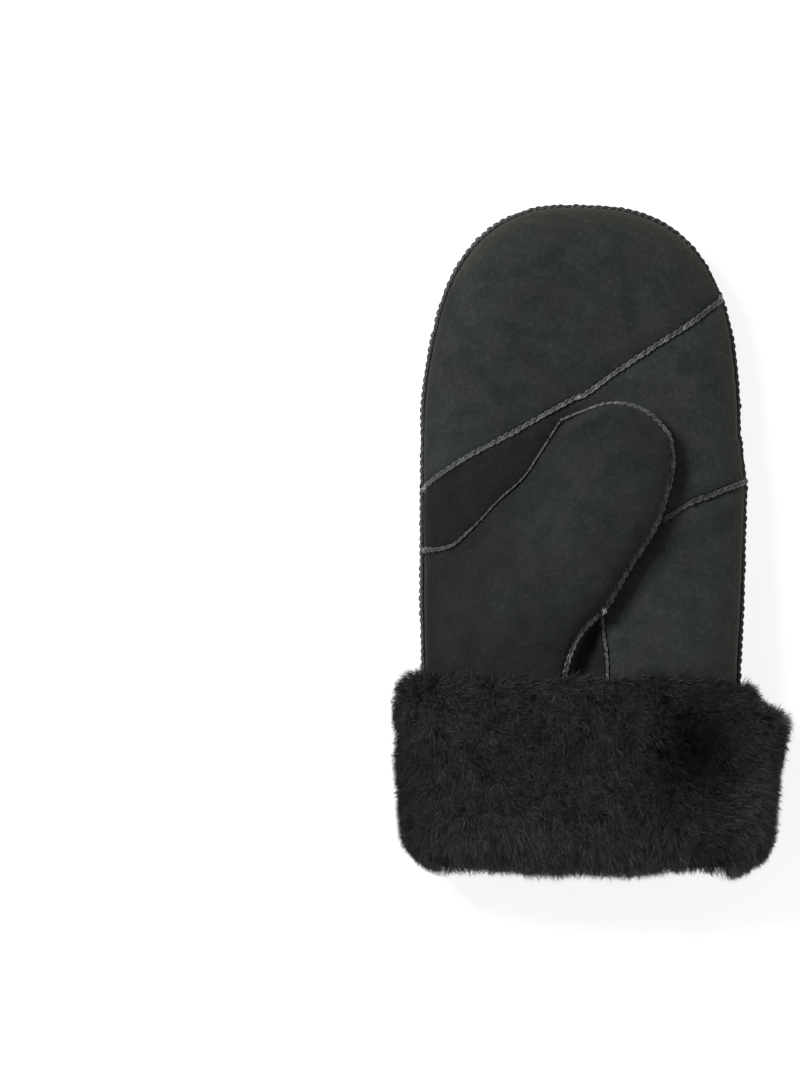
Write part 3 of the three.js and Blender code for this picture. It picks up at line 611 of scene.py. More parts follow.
def grid_sheet(name, columns, rows, place_all, crowd_u=(False, False), crowd_v=(False, False)):
    bpy.ops.object.select_all(action="DESELECT")
    bpy.ops.mesh.primitive_grid_add(x_subdivisions=columns, y_subdivisions=rows, size=1)
    sheet = bpy.context.object
    sheet.name = name
    across, along_it, _ = places_of(sheet).T + 0.5
    set_places(sheet, place_all(crowded(across, *crowd_u), crowded(along_it, *crowd_v)) * MM)
    return sheet


# %% [markdown]
# Each seam also gets its line in space, a little above the leather. The relief of the
# leather is measured from these lines, and later the stitches are laid along them. Where
# the thumb rises beside its base seam, that seam lies sunk between the two panels. The
# edge seam lies outside the leather, and here and there slips under it.

# %% Seam lines in space
FLOOR_GAP = 0.9
EDGE_OUT = 0.35
EDGE_WANDER = 0.6
TIP_COVER = 0.4
EDGE_LIMITS = (-0.1, 0.55)
LEFT_END = (-65.6, WRIST_Y)
RIGHT_END = (54.7, WRIST_Y)


def on_palm(line, above=0.0):
    return np.column_stack([line, palm_height(line[:, 0], line[:, 1]) + above])


def on_back(line):
    x, y = line.T
    return np.column_stack([line, np.maximum(lift(y) - hand_half(x, y) + 0.1, FLOOR_GAP)])


edge_plan = between(OUTLINE, LEFT_END, RIGHT_END)
slips = np.array([noise.noise((run / 38, 3.1, 0.4)) for run in lengths_of(edge_plan)])
tip_cover = np.exp(-(((edge_plan[:, 0] + 2) / 22) ** 2)) * (edge_plan[:, 1] > 90)
edge_out = EDGE_OUT + EDGE_WANDER * slips - TIP_COVER * tip_cover
edge_plan = moved_aside(edge_plan, np.clip(edge_out, *EDGE_LIMITS))
seam_lines = {
    "edge_seam": np.column_stack([edge_plan, lift(edge_plan[:, 1]) - 0.3]),
    "finger_seam": on_palm(FINGER_SEAM),
    "thumb_base_seam": on_palm(THUMB_BASE_SEAM[:-1], 0.1),
    "thumb_edge_seam": on_palm(THUMB_EDGE_SEAM, seam_height(THUMB_EDGE_SEAM) + 0.2),
    "heel_seam": on_palm(HEEL_SEAM[HEEL_SEAM[:, 0] > 24.5]),
    "thumb_gusset_seam": on_palm(THUMB_CROTCH[THUMB_CROTCH[:, 1] < -25], 0.3),
    "back_thumb_side_seam": on_back(BACK_THUMB_SIDE_SEAM),
    "back_outer_seam": on_back(BACK_OUTER_SEAM),
}
print("sewn length:", round(sum(lengths_of(line)[-1] for line in seam_lines.values())), "mm")


# %% Relief near the seams
STITCH_PITCH = 2.95
DIP = 0.6
SWELL = 0.35
PUCKER = 0.2
WAVER = 0.55
BLEND = 1.2

seam_trees = []
for line in seam_lines.values():
    tree_of_line = kdtree.KDTree(len(line))
    for i, point in enumerate(line):
        tree_of_line.insert(point, i)
    tree_of_line.balance()
    seam_trees.append((tree_of_line, lengths_of(line)))


def relief_at(point):
    """How far the leather is pushed out at a place; the edge seam holds it best"""
    nearness = 0
    pucker = 0
    held = 0.3 + 0.7 * smooth(1, 5, seam_trees[0][0].find(point)[2])
    for k, (tree_of_line, run) in enumerate(seam_trees):
        _, i, distance = tree_of_line.find(point)
        nearness += math.exp(-distance / BLEND)
        if distance < 25:
            phase = 2 * math.pi * run[i] / (2 * STITCH_PITCH) + 2.5 * noise.noise((run[i] / 13, k, 0))
            pucker += PUCKER * math.sin(phase) * math.exp(-distance / 3.5)
    distance = max(0, -BLEND * math.log(nearness + 1e-30))
    dip = -DIP * math.exp(-((distance / 2.0) ** 2))
    swell = SWELL * math.exp(-(((distance - 6.5) / 4) ** 2))
    waver = WAVER * noise.noise(Vector(point) / 27) + 0.15 * noise.noise(Vector(point) / 8)
    return held * (dip + swell + pucker + waver)


def push_out(sheet, push_at, lowest=0.0):
    """Moves each place along its normal; the normals are read before anything moves"""
    places = places_of(sheet)
    pushes = np.array([push_at(Vector(place) / MM) for place in places])
    places = places + places_of(sheet, "normal") * pushes[:, None] * MM
    places[:, 2] = np.maximum(places[:, 2], lowest * MM)
    set_places(sheet, places)


def paint(sheet, tone, wear_and_sheen_amount):
    """The panel's tone with its painted shade and light, the wear and painted sheen at the outer edge, the
    folds of the heel
    """
    x, y, z = places_of(sheet).T / MM
    # Rubbed dye and painted sheen: lighter on the rounded right edge of the upper side
    off_edge = np.maximum(0, 1 - reach(x, y)) * 62
    high = smooth(0, 5, z - lift(y))
    on_right = smooth(10, 30, x + 0.9 * np.maximum(0, y - 20))
    wear_and_sheen = np.clip(wear_and_sheen_amount * np.exp(-((off_edge / 3.5) ** 2)) * high * on_right, 0, 1)
    # Painted shade: each panel is darker just inside the edge seam, in the seam's groove
    tones = tone(x, y) * (0.78 + 0.22 * smooth(0.02, 0.09, 1 - reach(x, y)))
    folds = np.exp(-(((x - 40) / 13) ** 2) - ((y + 20) / 11) ** 2) * (z > lift(y))
    for name, values in (("hide_tone", tones), ("edge_wear_and_sheen", wear_and_sheen), ("folded", folds)):
        layer = sheet.data.attributes.new(name, "FLOAT", "POINT")
        layer.data.foreach_set("value", values.astype(np.float32))


# %% Skin and dressing
made_triangles = {}


def finish_skin(sheet, outwards, thickness=SKIN):
    """Faces point outwards, then Solidify gives the wall on the inner side"""
    bpy.ops.object.select_all(action="DESELECT")
    bpy.context.view_layer.objects.active = sheet
    sheet.select_set(True)
    bpy.ops.object.mode_set(mode="EDIT")
    bpy.ops.mesh.select_all(action="SELECT")
    bpy.ops.mesh.remove_doubles(threshold=0.00002)
    bpy.ops.object.mode_set(mode="OBJECT")
    normal = sum((p.normal * p.area for p in sheet.data.polygons), Vector())
    if normal.dot(Vector(outwards)) < 0:
        sheet.data.flip_normals()
    solidify = sheet.modifiers.new("skin", "SOLIDIFY")
    solidify.thickness = thickness * MM
    solidify.offset = -1
    bpy.ops.object.modifier_apply(modifier=solidify.name)
    bpy.ops.object.shade_smooth()


def dress(piece, material, slot, *nodes):
    if material:
        piece.data.materials.clear()
        piece.data.materials.append(material)
    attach(piece, "root")
    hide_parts(*nodes)
    made_triangles[piece.name] = sum(len(p.vertices) - 2 for p in piece.data.polygons)
    print(piece.name, made_triangles[piece.name], "triangles")


def make_suede(sheet, node, tone, outwards=(0, 0, 1), relief=1.0, lowest=0.0, wear_and_sheen=1.0, skin=SKIN):
    paint(sheet, tone, wear_and_sheen)
    push_out(sheet, lambda place: relief * relief_at(place), lowest)
    finish_skin(sheet, outwards, skin)
    dress(sheet, suede, "suede", node)


# %% [markdown]
# The palm has three flat panels. The finger panel fans out from the long diagonal seam to
# the rounded tip. The middle panel lies between the diagonal seam and the thumb. The heel
# panel goes on down to the wrist, under the cuff.

# %% Palm panels
EDGE_GAP = 0.6
# Shares along the middle panel's lower border, and the shares of its upper one beside them
LOW_SHARES = (0, 0.35, 0.6, 1)
TOP_SHARES = (0, 0.47, 0.74, 1)


def border(line):
    return lambda t: along(line, t)


def matched(line, shares, goals):
    return lambda t: along(line, np.interp(t, shares, goals))


def straight(start, end):
    return border(np.array([start, end]))


def panel_between(name, columns, rows, sides, height_at, **crowding):
    def place_all(u, v):
        plan = laid_between(*sides, u, v)
        return np.column_stack([plan, height_at(plan[:, 0], plan[:, 1])])

    return grid_sheet(name, columns, rows, place_all, **crowding)


finger_low = moved_aside(FINGER_SEAM, EDGE_GAP)
finger_top = between(OUTLINE, FINGER_SEAM[0], FINGER_SEAM[-1])
finger_left = straight(finger_low[0], finger_top[0])
finger_right = straight(finger_low[-1], finger_top[-1])
sides = (border(finger_low), border(finger_top), finger_left, finger_right)
panel = panel_between("palm_finger_suede", 150, 66, sides, palm_height, crowd_v=(False, True))
# Painted light: the finger panel is lighter towards its left, where the lamp falls
make_suede(panel, "palm_finger_panel", lambda x, y: 1.0 + 0.1 * smooth(-20, -60, x))

# The corners of the lower border are cut off, so that no rows of the grid cross there
base_upper = moved_aside(THUMB_BASE_SEAM, EDGE_GAP)[:-3]
crotch_short = moved_aside(between(THUMB_CROTCH, CORNER, (4.2, -3)), EDGE_GAP)[5:]
crotch_short = crotch_short[crotch_short[:, 1] > -1.8]
heel_upper = moved_aside(HEEL_SEAM, EDGE_GAP)
heel_upper = heel_upper[heel_upper[:, 0] > 4.9]
middle_low = np.vstack([base_upper, crotch_short, heel_upper])
middle_top = moved_aside(FINGER_SEAM, -EDGE_GAP)
low_lengths = lengths_of(middle_low)
last_points = (len(base_upper) - 1, len(base_upper) + len(crotch_short) - 1)
turns = [low_lengths[i] / low_lengths[-1] for i in last_points]
sides = (
    matched(middle_low, LOW_SHARES, (0, *turns, 1)),
    matched(middle_top, LOW_SHARES, TOP_SHARES),
    border(between(OUTLINE, middle_low[0], middle_top[0])),
    border(between(OUTLINE, middle_low[-1], middle_top[-1])),
)
panel = panel_between("palm_middle_suede", 130, 44, sides, palm_height, crowd_u=(True, True))


# Painted shade: the middle panel is darker towards its left
def middle_tone_and_shade(x, y):
    return 0.3 + 0.2 * smooth(-66, -45, x) + 0.75 * smooth(-25, 20, x)


make_suede(panel, "palm_middle_panel", middle_tone_and_shade)

heel_top = border(moved_aside(HEEL_SEAM, -EDGE_GAP))
heel_side = moved_aside(between(THUMB_CROTCH, (5, WRIST_Y), (4.2, -3)), -EDGE_GAP)
heel_right = between(OUTLINE, RIGHT_END, HEEL_SEAM[-1])
sides = (straight(heel_side[0], heel_right[0]), heel_top, border(heel_side), border(heel_right))
panel = panel_between("palm_heel_suede", 56, 96, sides, palm_height, crowd_u=(False, True))
make_suede(panel, "palm_heel_panel", lambda x, y: 1.22 + 0 * x)


# %% [markdown]
# The thumb's two panels use the thumb's own formulas. The grid runs from the wrist to the
# thumb's top corner one way, and across the thumb the other way.

# %% Thumb panels
FRONT_END = 0.993
UNDER_END = 0.95


# Painted shade: the thumb's front is darker towards its left
def front_tone_and_shade(x, y):
    return 0.2 + 0.38 * smooth(-68, -56, x) + 0.27 * smooth(-56, -10, x)


def front_place(u, v):
    return thumb_front(v * FRONT_END, u)


def under_place(u, v):
    return thumb_under(v * UNDER_END, u)


panel = grid_sheet("thumb_front_suede", 78, 130, front_place, (False, True))
make_suede(panel, "thumb_front_panel", front_tone_and_shade, relief=0.8)
panel = grid_sheet("thumb_under_suede", 30, 110, under_place, (True, False))
# Painted shade: the thumb's underside is darker, in the hollow beside the thumb
make_suede(panel, "thumb_back_panel", lambda x, y: 0.53 + 0 * x, (0.3, 0, 1), relief=0.5, skin=1.0)


# %% [markdown]
# The back lies on the floor, pressed flat in the middle and turned up at its sides. It is
# made of three long panels.

# %% Back panels
first_seam = BACK_THUMB_SIDE_SEAM[::-1]
second_seam = BACK_OUTER_SEAM[::-1]
left_side = between(OUTLINE, LEFT_END, first_seam[-1])
right_side = between(OUTLINE, RIGHT_END, second_seam[-1])
tip_side = between(OUTLINE, first_seam[-1], second_seam[-1])
first_left, first_right = (moved_aside(first_seam, gap) for gap in (EDGE_GAP, -EDGE_GAP))
second_left, second_right = (moved_aside(second_seam, gap) for gap in (EDGE_GAP, -EDGE_GAP))
# Columns, rows, the lines on the left and right, the line at the top, and where it is crowded
BACK_PANELS = {
    "back_thumb_side": (40, 100, left_side, first_left, None, {"crowd_u": (True, False)}),
    "back_centre": (30, 110, first_right, second_left, tip_side, {"crowd_v": (False, True)}),
    "back_outer": (40, 100, second_right, right_side, None, {"crowd_u": (False, True)}),
}
for name, (columns, rows, left, right, top, crowding) in BACK_PANELS.items():
    upper = straight(left[-1], right[-1]) if top is None else border(top)
    sides = (straight(left[0], right[0]), upper, border(left), border(right))
    panel = panel_between(name + "_suede", columns, rows, sides, back_height, **crowding)
    make_suede(panel, name + "_panel", lambda x, y: 1.0 + 0 * x, (0, 0, -1), 0.6, 0.05, 0.0)


# %% [markdown]
# ## Whip-stitched seams
# Two cut edges of leather stand up side by side, and a doubled thread runs over them again
# and again at a slant. Each edge puffs out between its stitches, so the seam looks like two
# rows of beads with a groove between them. One turn of thread is modelled once, as the top
# of a small torus, and copied along the line, two turns in each pinch.

# %% One turn of thread
THREAD_RADIUS = 0.17

bpy.ops.object.select_all(action="DESELECT")
bpy.ops.mesh.primitive_torus_add(
    major_radius=1.0,
    minor_radius=THREAD_RADIUS,
    major_segments=14,
    minor_segments=4,
    rotation=(math.pi / 2, 0, 0),
)
loop = bpy.context.object
bpy.ops.object.transform_apply(location=False, rotation=True, scale=False)
bpy.ops.object.mode_set(mode="EDIT")
bpy.ops.mesh.select_all(action="SELECT")
bpy.ops.mesh.bisect(plane_co=(0, 0, -0.3), plane_no=(0, 0, 1), clear_inner=True, use_fill=False)
bpy.ops.object.mode_set(mode="OBJECT")
loop_places = np.array([vertex.co for vertex in loop.data.vertices])
loop_faces = np.array([list(p.vertices) + [-1] * (4 - len(p.vertices)) for p in loop.data.polygons])
loop_turn = np.arctan2(loop_places[:, 0], loop_places[:, 2])
loop_out = np.hypot(loop_places[:, 0], loop_places[:, 2]) - 1
loop_beside = loop_places[:, 1]
bpy.data.objects.remove(loop)
print("one turn of thread:", len(loop_faces), "faces")


# %% Laying ridges and thread along a line
# Half of the ridge's section: two rounded edges with a groove between them
EDGE_SECTION = ((0.24, 0.6), (0.56, 0.9), (0.9, 0.62), (1, 0.05), (0.75, -0.6))
RIDGE_STEPS = 7
PINCH = 0.45
PINCH_WIDTH = 0.55
PINCH_SLANT = 0.75
THREAD_SLANT = 0.9

section = np.array(
    [(0, 0.2), *EDGE_SECTION, (0, -0.9), *((-x, z) for x, z in reversed(EDGE_SECTION))]
)
section_x, section_z = section.T
RIDGE_SIDES = len(section)


def unit(vectors):
    return vectors / np.linalg.norm(vectors, axis=-1)[..., None]


def frames_along(line, up, share):
    """Places on a line, and the directions ahead, aside and above there"""
    step = 0.4 / lengths_of(line)[-1]
    ahead = unit(along(line, share + step) - along(line, share - step))
    aside = unit(np.cross(sampled(line, up, share), ahead))
    return along(line, share), ahead, aside, np.cross(ahead, aside)


def mesh_of(name, places, faces, uv):
    mesh = bpy.data.meshes.new(name)
    mesh.from_pydata((places * MM).tolist(), [], faces)
    layer = mesh.uv_layers.new(name="ThreadMap")
    corners = np.empty(len(mesh.loops), np.int32)
    mesh.loops.foreach_get("vertex_index", corners)
    layer.data.foreach_set("uv", uv[corners].ravel())
    piece = bpy.data.objects.new(name, mesh)
    bpy.context.scene.collection.objects.link(piece)
    return piece


def thread_turns(centres, ahead, aside, above, across_size, up_size, slant, tones):
    """Turns of thread around places on a ridge, as one block of places, faces and UV"""
    across = np.sin(loop_turn) * across_size[:, None] + np.sin(loop_turn) * loop_out
    upwards = np.cos(loop_turn) * up_size[:, None] + np.cos(loop_turn) * loop_out
    forwards = loop_beside + slant[:, None] * np.sin(loop_turn) / 2
    places = (
        centres[:, None]
        + aside[:, None] * across[..., None]
        + above[:, None] * upwards[..., None]
        + ahead[:, None] * forwards[..., None]
    )
    starts = np.arange(len(centres)) * len(loop_turn)
    faces = []
    for start in starts.tolist():
        faces.extend(tuple(v + start for v in face if v >= 0) for face in loop_faces.tolist())
    uv = np.stack([np.repeat(tones, len(loop_turn)), np.tile(loop_turn, len(centres))], axis=1)
    return places.reshape(-1, 3), faces, uv


def sewn_seam(name, line, up, width_at, flatness, gap, painted_highlight, seed):
    """Two leather edges pinched at each stitch, with two turns of thread in every pinch"""
    rng = np.random.default_rng(seed)
    total = lengths_of(line)[-1]
    count = int(total / STITCH_PITCH)
    pitch = total / count
    share = np.linspace(0, 1, count * RIDGE_STEPS + 1)
    centre, ahead, aside, above = frames_along(line, up, share)
    half = np.interp(share, *width_at)[:, None] / 2
    phase = share[:, None] * count - PINCH_SLANT * half * section_x / pitch
    from_stitch = (phase - np.floor(phase) - 0.5) * pitch
    size = half * (1 - PINCH * np.exp(-((from_stitch / PINCH_WIDTH) ** 2)))
    uneven = rng.normal(0, 1, (count + 1, 2))
    for k, on_side in enumerate((section_x > 0, section_x < 0)):
        size[:, on_side] *= 1 + 0.13 * np.interp(share * count, np.arange(count + 1), uneven[:, k])[:, None]
    ridge = (
        centre[:, None]
        + aside[:, None] * (section_x * size)[..., None]
        + above[:, None] * (section_z * size * flatness)[..., None]
    ).reshape(-1, 3)
    faces = [tuple(range(RIDGE_SIDES))]
    for i in range(len(share) - 1):
        for k in range(RIDGE_SIDES):
            a, b = i * RIDGE_SIDES + k, i * RIDGE_SIDES + (k + 1) % RIDGE_SIDES
            faces.append((a, a + RIDGE_SIDES, b + RIDGE_SIDES, b))
    faces.append(tuple(reversed(range(len(ridge) - RIDGE_SIDES, len(ridge)))))
    ridge_faces = len(faces)
    stitch = np.repeat((np.arange(count) + 0.5 + rng.uniform(-0.08, 0.08, count)) * pitch, 2)
    stitch += np.tile([-gap / 2, gap / 2], count) + rng.normal(0, 0.06, 2 * count)
    centre, ahead, aside, above = frames_along(line, up, stitch / total)
    half = np.interp(stitch / total, *width_at) / 2
    snug = half * (0.95 - 0.85 * PINCH) * rng.uniform(0.96, 1.1, 2 * count)
    slants = 2 * THREAD_SLANT * half * np.repeat(rng.uniform(0.85, 1.15, count), 2)
    # Painted highlight: each stitch's tone, scaled by the seam's strength of painted highlight
    tones = painted_highlight * np.repeat(rng.beta(0.9, 1.7, count), 2)
    thread, thread_faces, thread_uv = thread_turns(
        centre, ahead, aside, above, snug + 0.05, snug * flatness + 0.05, slants, tones
    )
    faces.extend(tuple(v + len(ridge) for v in face) for face in thread_faces)
    # Painted highlight on the beads, also scaled by the seam's strength
    bead_tones = painted_highlight * np.interp(share * count, np.arange(count + 1), rng.uniform(0.3, 0.8, count + 1))
    bead_uv = np.stack([np.repeat(bead_tones, RIDGE_SIDES), np.zeros(len(ridge))], axis=1)
    places = np.vstack([ridge, thread])
    places[:, 2] = np.maximum(places[:, 2], 0)
    kinds = np.repeat([0, 1], [ridge_faces, len(thread_faces)])
    return mesh_of(name, places, faces, np.vstack([bead_uv, thread_uv])), kinds


def dress_sewing(piece, kinds, *nodes):
    """Leather on the faces of kind 0, thread on those of kind 1"""
    for material in (squeezed_leather, waxed_thread):
        piece.data.materials.append(material)
    piece.data.polygons.foreach_set("material_index", np.array(kinds, np.int32))
    piece.data.polygons.foreach_set("use_smooth", np.ones(len(kinds), bool))
    piece.data.update()
    dress(piece, None, "seam_thread", *nodes)


# %% Every seam
def palm_up(line):
    step = 0.5
    x, y = line[:, 0], line[:, 1]
    slope_x = (palm_height(x + step, y) - palm_height(x - step, y)) / (2 * step)
    slope_y = (palm_height(x, y + step) - palm_height(x, y - step)) / (2 * step)
    slopes = np.clip(np.column_stack([-slope_x, -slope_y]), -3, 3)
    return np.column_stack([slopes, np.ones(len(line))])


def outwards_in_plan(line):
    ahead = np.gradient(line[:, :2], axis=0)
    return unit(np.column_stack([-ahead[:, 1], ahead[:, 0], np.zeros(len(line))]))


thumb_line = seam_lines["thumb_edge_seam"]
thumb_out = outwards_in_plan(thumb_line) * thumb_growth(thumb_line[:, 1])[:, None]
down = np.array([0.0, 0.0, -1.0])
ups = {
    "edge_seam": outwards_in_plan(seam_lines["edge_seam"]) + np.array([0, 0, 0.6]),
    "thumb_edge_seam": thumb_out * 0.5 + np.array([0, 0, 0.9]),
    "back_thumb_side_seam": np.tile(down, (len(BACK_THUMB_SIDE_SEAM), 1)),
    "back_outer_seam": np.tile(down, (len(BACK_OUTER_SEAM), 1)),
}
# Shares of the length with the widths there, height over width, the thread's gap and the strength of the
# painted highlight
SEAM_SIZES = {
    "edge_seam": (((0, 0.3, 0.38, 0.45, 0.56, 1), (2.2, 2.4, 3.0, 2.5, 2.2, 2.4)), 1.0, 0.6, 0.15),
    "finger_seam": (((0, 1), (2.4, 2.5)), 0.85, 0.5, 0.85),
    "thumb_base_seam": (((0, 0.2, 0.4, 1), (2.3, 1.8, 1.0, 1.0)), 0.9, 0.4, 0.5),
    "thumb_edge_seam": (((0, 0.1, 0.25, 0.5, 1), (1.1, 1.5, 2.7, 2.7, 2.4)), 0.85, 0.6, 0.85),
    "heel_seam": (((0, 1), (2.3, 2.6)), 0.85, 0.5, 0.55),
    "thumb_gusset_seam": (((0, 1), (1.6, 1.5)), 0.95, 0.4, 0.7),
    "back_thumb_side_seam": (((0, 1), (2.8, 2.8)), 0.5, 0.6, 0.6),
    "back_outer_seam": (((0, 1), (2.8, 2.8)), 0.5, 0.6, 0.6),
}
for seed, (name, line) in enumerate(seam_lines.items()):
    up = ups.get(name, palm_up(line))
    seam, kinds = sewn_seam(name + "_stitching", line, up, *SEAM_SIZES[name], seed)
    dress_sewing(seam, kinds, name)


# %% [markdown]
# A thread is fastened by winding it over the same spot, so a small knot sits wherever one
# seam runs into another. Each knot is a lump of leather with a few turns of thread on it.

# %% Knots
# Where each knot sits, its size, and how far the thumb lifts it
KNOTS = (
    (58.3, 25.2, 1.7, 0),
    (-65.9, 22.0, 1.6, 0),
    (48.6, 96.4, 1.6, 0),
    (-66.0, -1.9, 1.4, 0),
    (-6.1, 57.9, 1.3, 0),
    (3.2, -25.4, 1.5, 9.6),
)
KNOT_TURNS = 4
KNOT_SINK = 0.2

bpy.ops.object.select_all(action="DESELECT")
bpy.ops.mesh.primitive_ico_sphere_add(subdivisions=2, radius=1)
lump = bpy.context.object
lump_places = places_of(lump)
lump_faces = [tuple(p.vertices) for p in lump.data.polygons]
bpy.data.objects.remove(lump)

rng = np.random.default_rng(20)
places, faces, uv, kinds = [], [], [], []
for x, y, size, rise in KNOTS:
    height = float(palm_height(x, y)) + rise * float(thumb_growth(y)) - KNOT_SINK
    middle = np.array([x, y, height])
    lumpy = np.array([1 + 0.25 * noise.noise(Vector(p) * 1.6 + Vector((x, y, 0))) for p in lump_places])
    lump_block = middle + lump_places * size * lumpy[:, None] * (1, 1, 0.8)
    angles = rng.uniform(0, math.pi, KNOT_TURNS)
    ahead = np.stack([np.cos(angles), np.sin(angles), 0 * angles], axis=1)
    above = unit(rng.normal(0, 0.3, (KNOT_TURNS, 3)) + (0, 0, 1))
    aside = unit(np.cross(above, ahead))
    above = np.cross(ahead, aside)
    sizes = np.full(KNOT_TURNS, size * 0.98)
    shifts = middle + ahead * rng.normal(0, 0.35, (KNOT_TURNS, 1))
    # Painted highlight: each turn of thread gets a tone of its own
    tones = rng.uniform(0.2, 1, KNOT_TURNS)
    thread, thread_faces, thread_uv = thread_turns(
        shifts, ahead, aside, above, sizes, sizes * 0.8, 0 * sizes, tones
    )
    lump_uv = np.full((len(lump_places), 2), 0.5)
    blocks = ((lump_block, lump_faces, lump_uv), (thread, thread_faces, thread_uv))
    for kind, (block, block_faces, block_uv) in enumerate(blocks):
        start = sum(len(made) for made in places)
        faces.extend(tuple(v + start for v in face) for face in block_faces)
        kinds.extend([kind] * len(block_faces))
        places.append(block)
        uv.append(block_uv)
knots = mesh_of("seam_knots", np.vstack(places), faces, np.vstack(uv))
dress_sewing(knots, kinds)


# %% [markdown]
# ## The wool
# The pile inside the hand is only seen at the mouth. It is a lumpy bag, closed at the
# fingertips, made from a grid that is rolled into a tube and given the pile's thickness.

# %% Wool lining
def ring_place(turn, y, inset):
    """A point of the hand's form, made smaller by an inset, at a turn round its axis"""
    on_left = np.cos(turn) < 0
    n = np.where(on_left, LEFT_ROUNDNESS, RIGHT_ROUNDNESS)
    up = np.clip((y - FINGER_BASE_Y) / (TIP_Y - EDGE_TUCK - FINGER_BASE_Y - inset), 0, 1)
    width = (side_width(y, on_left) - inset) * (1 - up**n) ** (1 / n)
    x = CENTRE_X + np.cos(turn) * width
    half = hand_half(x, y, inset)
    z = np.where(np.sin(turn) >= 0, lift(y) + half, np.maximum(lift(y) - half, inset))
    return np.stack([x, y, z], axis=-1)


def lining_place(u, v):
    inset = LINING_INSET + WOOL
    last = TIP_Y - EDGE_TUCK - inset - 0.05
    y = WRIST_Y + (last - WRIST_Y) * np.sin(v * math.pi / 2) ** 0.8
    return ring_place(2 * math.pi * u, y, inset)


lining = grid_sheet("wool_inside", 64, 60, lining_place)
for vertex in lining.data.vertices:
    bulge = 0.9 * noise.noise(vertex.co * 140)
    vertex.co.z += bulge * MM * (1 if vertex.co.z > lift(vertex.co.y / MM) * MM else -0.4)
finish_skin(lining, (0, 0, 0), 0.4)
bpy.ops.object.mode_set(mode="EDIT")
bpy.ops.mesh.select_all(action="SELECT")
bpy.ops.mesh.normals_make_consistent(inside=False)
bpy.ops.object.mode_set(mode="OBJECT")
dress(lining, underwool, "wool_pile", "wool_lining")


# %% [markdown]
# The cuff is the sheepskin turned back over the wrist, wool outside. A lumpy form stands
# for the felted underwool. It starts on the leather, swells, rolls round the rim and goes
# on into the mouth. The pile is rooted on it.

# %% Underwool of the cuff
CUFF_ROWS = {
    "y": (-130.5, -127, -121, -113, -90, -65, -57, -52, -49),
    "left": (-58, -65, -73, -77.5, -79.5, -80, -80, -79, -77),
    "right": (63, 67, 70, 72.5, 74, 78, 75.5, 69, 62),
    "half": (15.5, 22, 25.5, 28, 29, 30.5, 30, 29.5, 28),
}
CUFF_CENTRE_X = -4
CUFF_SQUARENESS = 2.6
PILE_DEPTH = 6.5
# How far the form has swelled from the hand to the cuff, from the top edge to the mouth
PROFILE = {
    "y": (0, 0.05, 0.1, 0.16, 0.8, 0.86, 0.91, 0.95, 1),
    "down": (-56.5, -53.5, -52.5, -55, -117, -122.5, -125, -124.5, -108),
    "swell": (0, 0.45, 0.8, 1, 1, 0.72, 0.38, 0.06, 0),
}


def squared(value):
    return np.sign(value) * np.abs(value) ** (2 / CUFF_SQUARENESS)


def cuff_outer(turn, y, inset):
    across, up = squared(np.cos(turn)), squared(np.sin(turn))
    side = np.where(across < 0, row_at(CUFF_ROWS, y, "left"), row_at(CUFF_ROWS, y, "right"))
    half = row_at(CUFF_ROWS, y, "half") - inset
    x = CUFF_CENTRE_X + (np.abs(side - CUFF_CENTRE_X) - inset) * across
    shoulder = np.where(across > 0, 14, 2) * smooth(0.72, 0.96, np.abs(across))
    lower = y - shoulder * (1 - smooth(0, 26, -49 - y))
    z = np.maximum(lift(lower) + half * up, inset * 0.35)
    return np.stack([x, lower, z], axis=-1)


def cuff_place(u, v):
    turn = 2 * math.pi * u
    down_to = np.interp(v, PROFILE["y"], PROFILE["down"])
    swell = np.interp(v, PROFILE["y"], PROFILE["swell"])[..., None]
    held = np.clip(down_to, -129, -50)
    outer = cuff_outer(turn, held, PILE_DEPTH)
    inner = ring_place(turn, down_to, np.where(v < 0.5, -EDGE_TUCK, LINING_INSET + WOOL - 1))
    place = inner + (outer - inner) * swell
    place[..., 1] = down_to + (outer[..., 1] - held) * swell[..., 0]
    return place


cuff_base = grid_sheet("wool_cuff_underwool", 150, 74, cuff_place)
bpy.ops.object.mode_set(mode="EDIT")
bpy.ops.mesh.select_all(action="SELECT")
bpy.ops.mesh.remove_doubles(threshold=0.00002)
bpy.ops.mesh.normals_make_consistent(inside=False)
bpy.ops.object.mode_set(mode="OBJECT")
upper_faces = [p for p in cuff_base.data.polygons if p.center.z > 0.045 and abs(p.center.x) < 0.03]
if sum(p.normal.z for p in upper_faces) < 0:
    cuff_base.data.flip_normals()
cuff_base.data.update()
push_out(cuff_base, lambda place: 1.3 * noise.noise(place / 17) + 0.6 * noise.noise(place / 6), 1)
bpy.ops.object.shade_smooth()
dress(cuff_base, underwool, "wool_pile", "fur_cuff")


# %% [markdown]
# Wool pile is far too fine to model fibre by fibre, so each strand here stands for a wisp
# of a few fibres, 0.25 mm wide. One strand is a narrow tapered strip, modelled once from a
# grid. Every copy is bent along its own path: it leaves the skin, leans with the flow of
# the pile, curls over at its tip, and draws a little towards the tip of its lock. The
# pile flows down over the cuff and outwards at its sides, ruffled at the size of the locks.

# %% One strand
STRAND_WIDTH = 0.25
STRAND_STEPS = 3

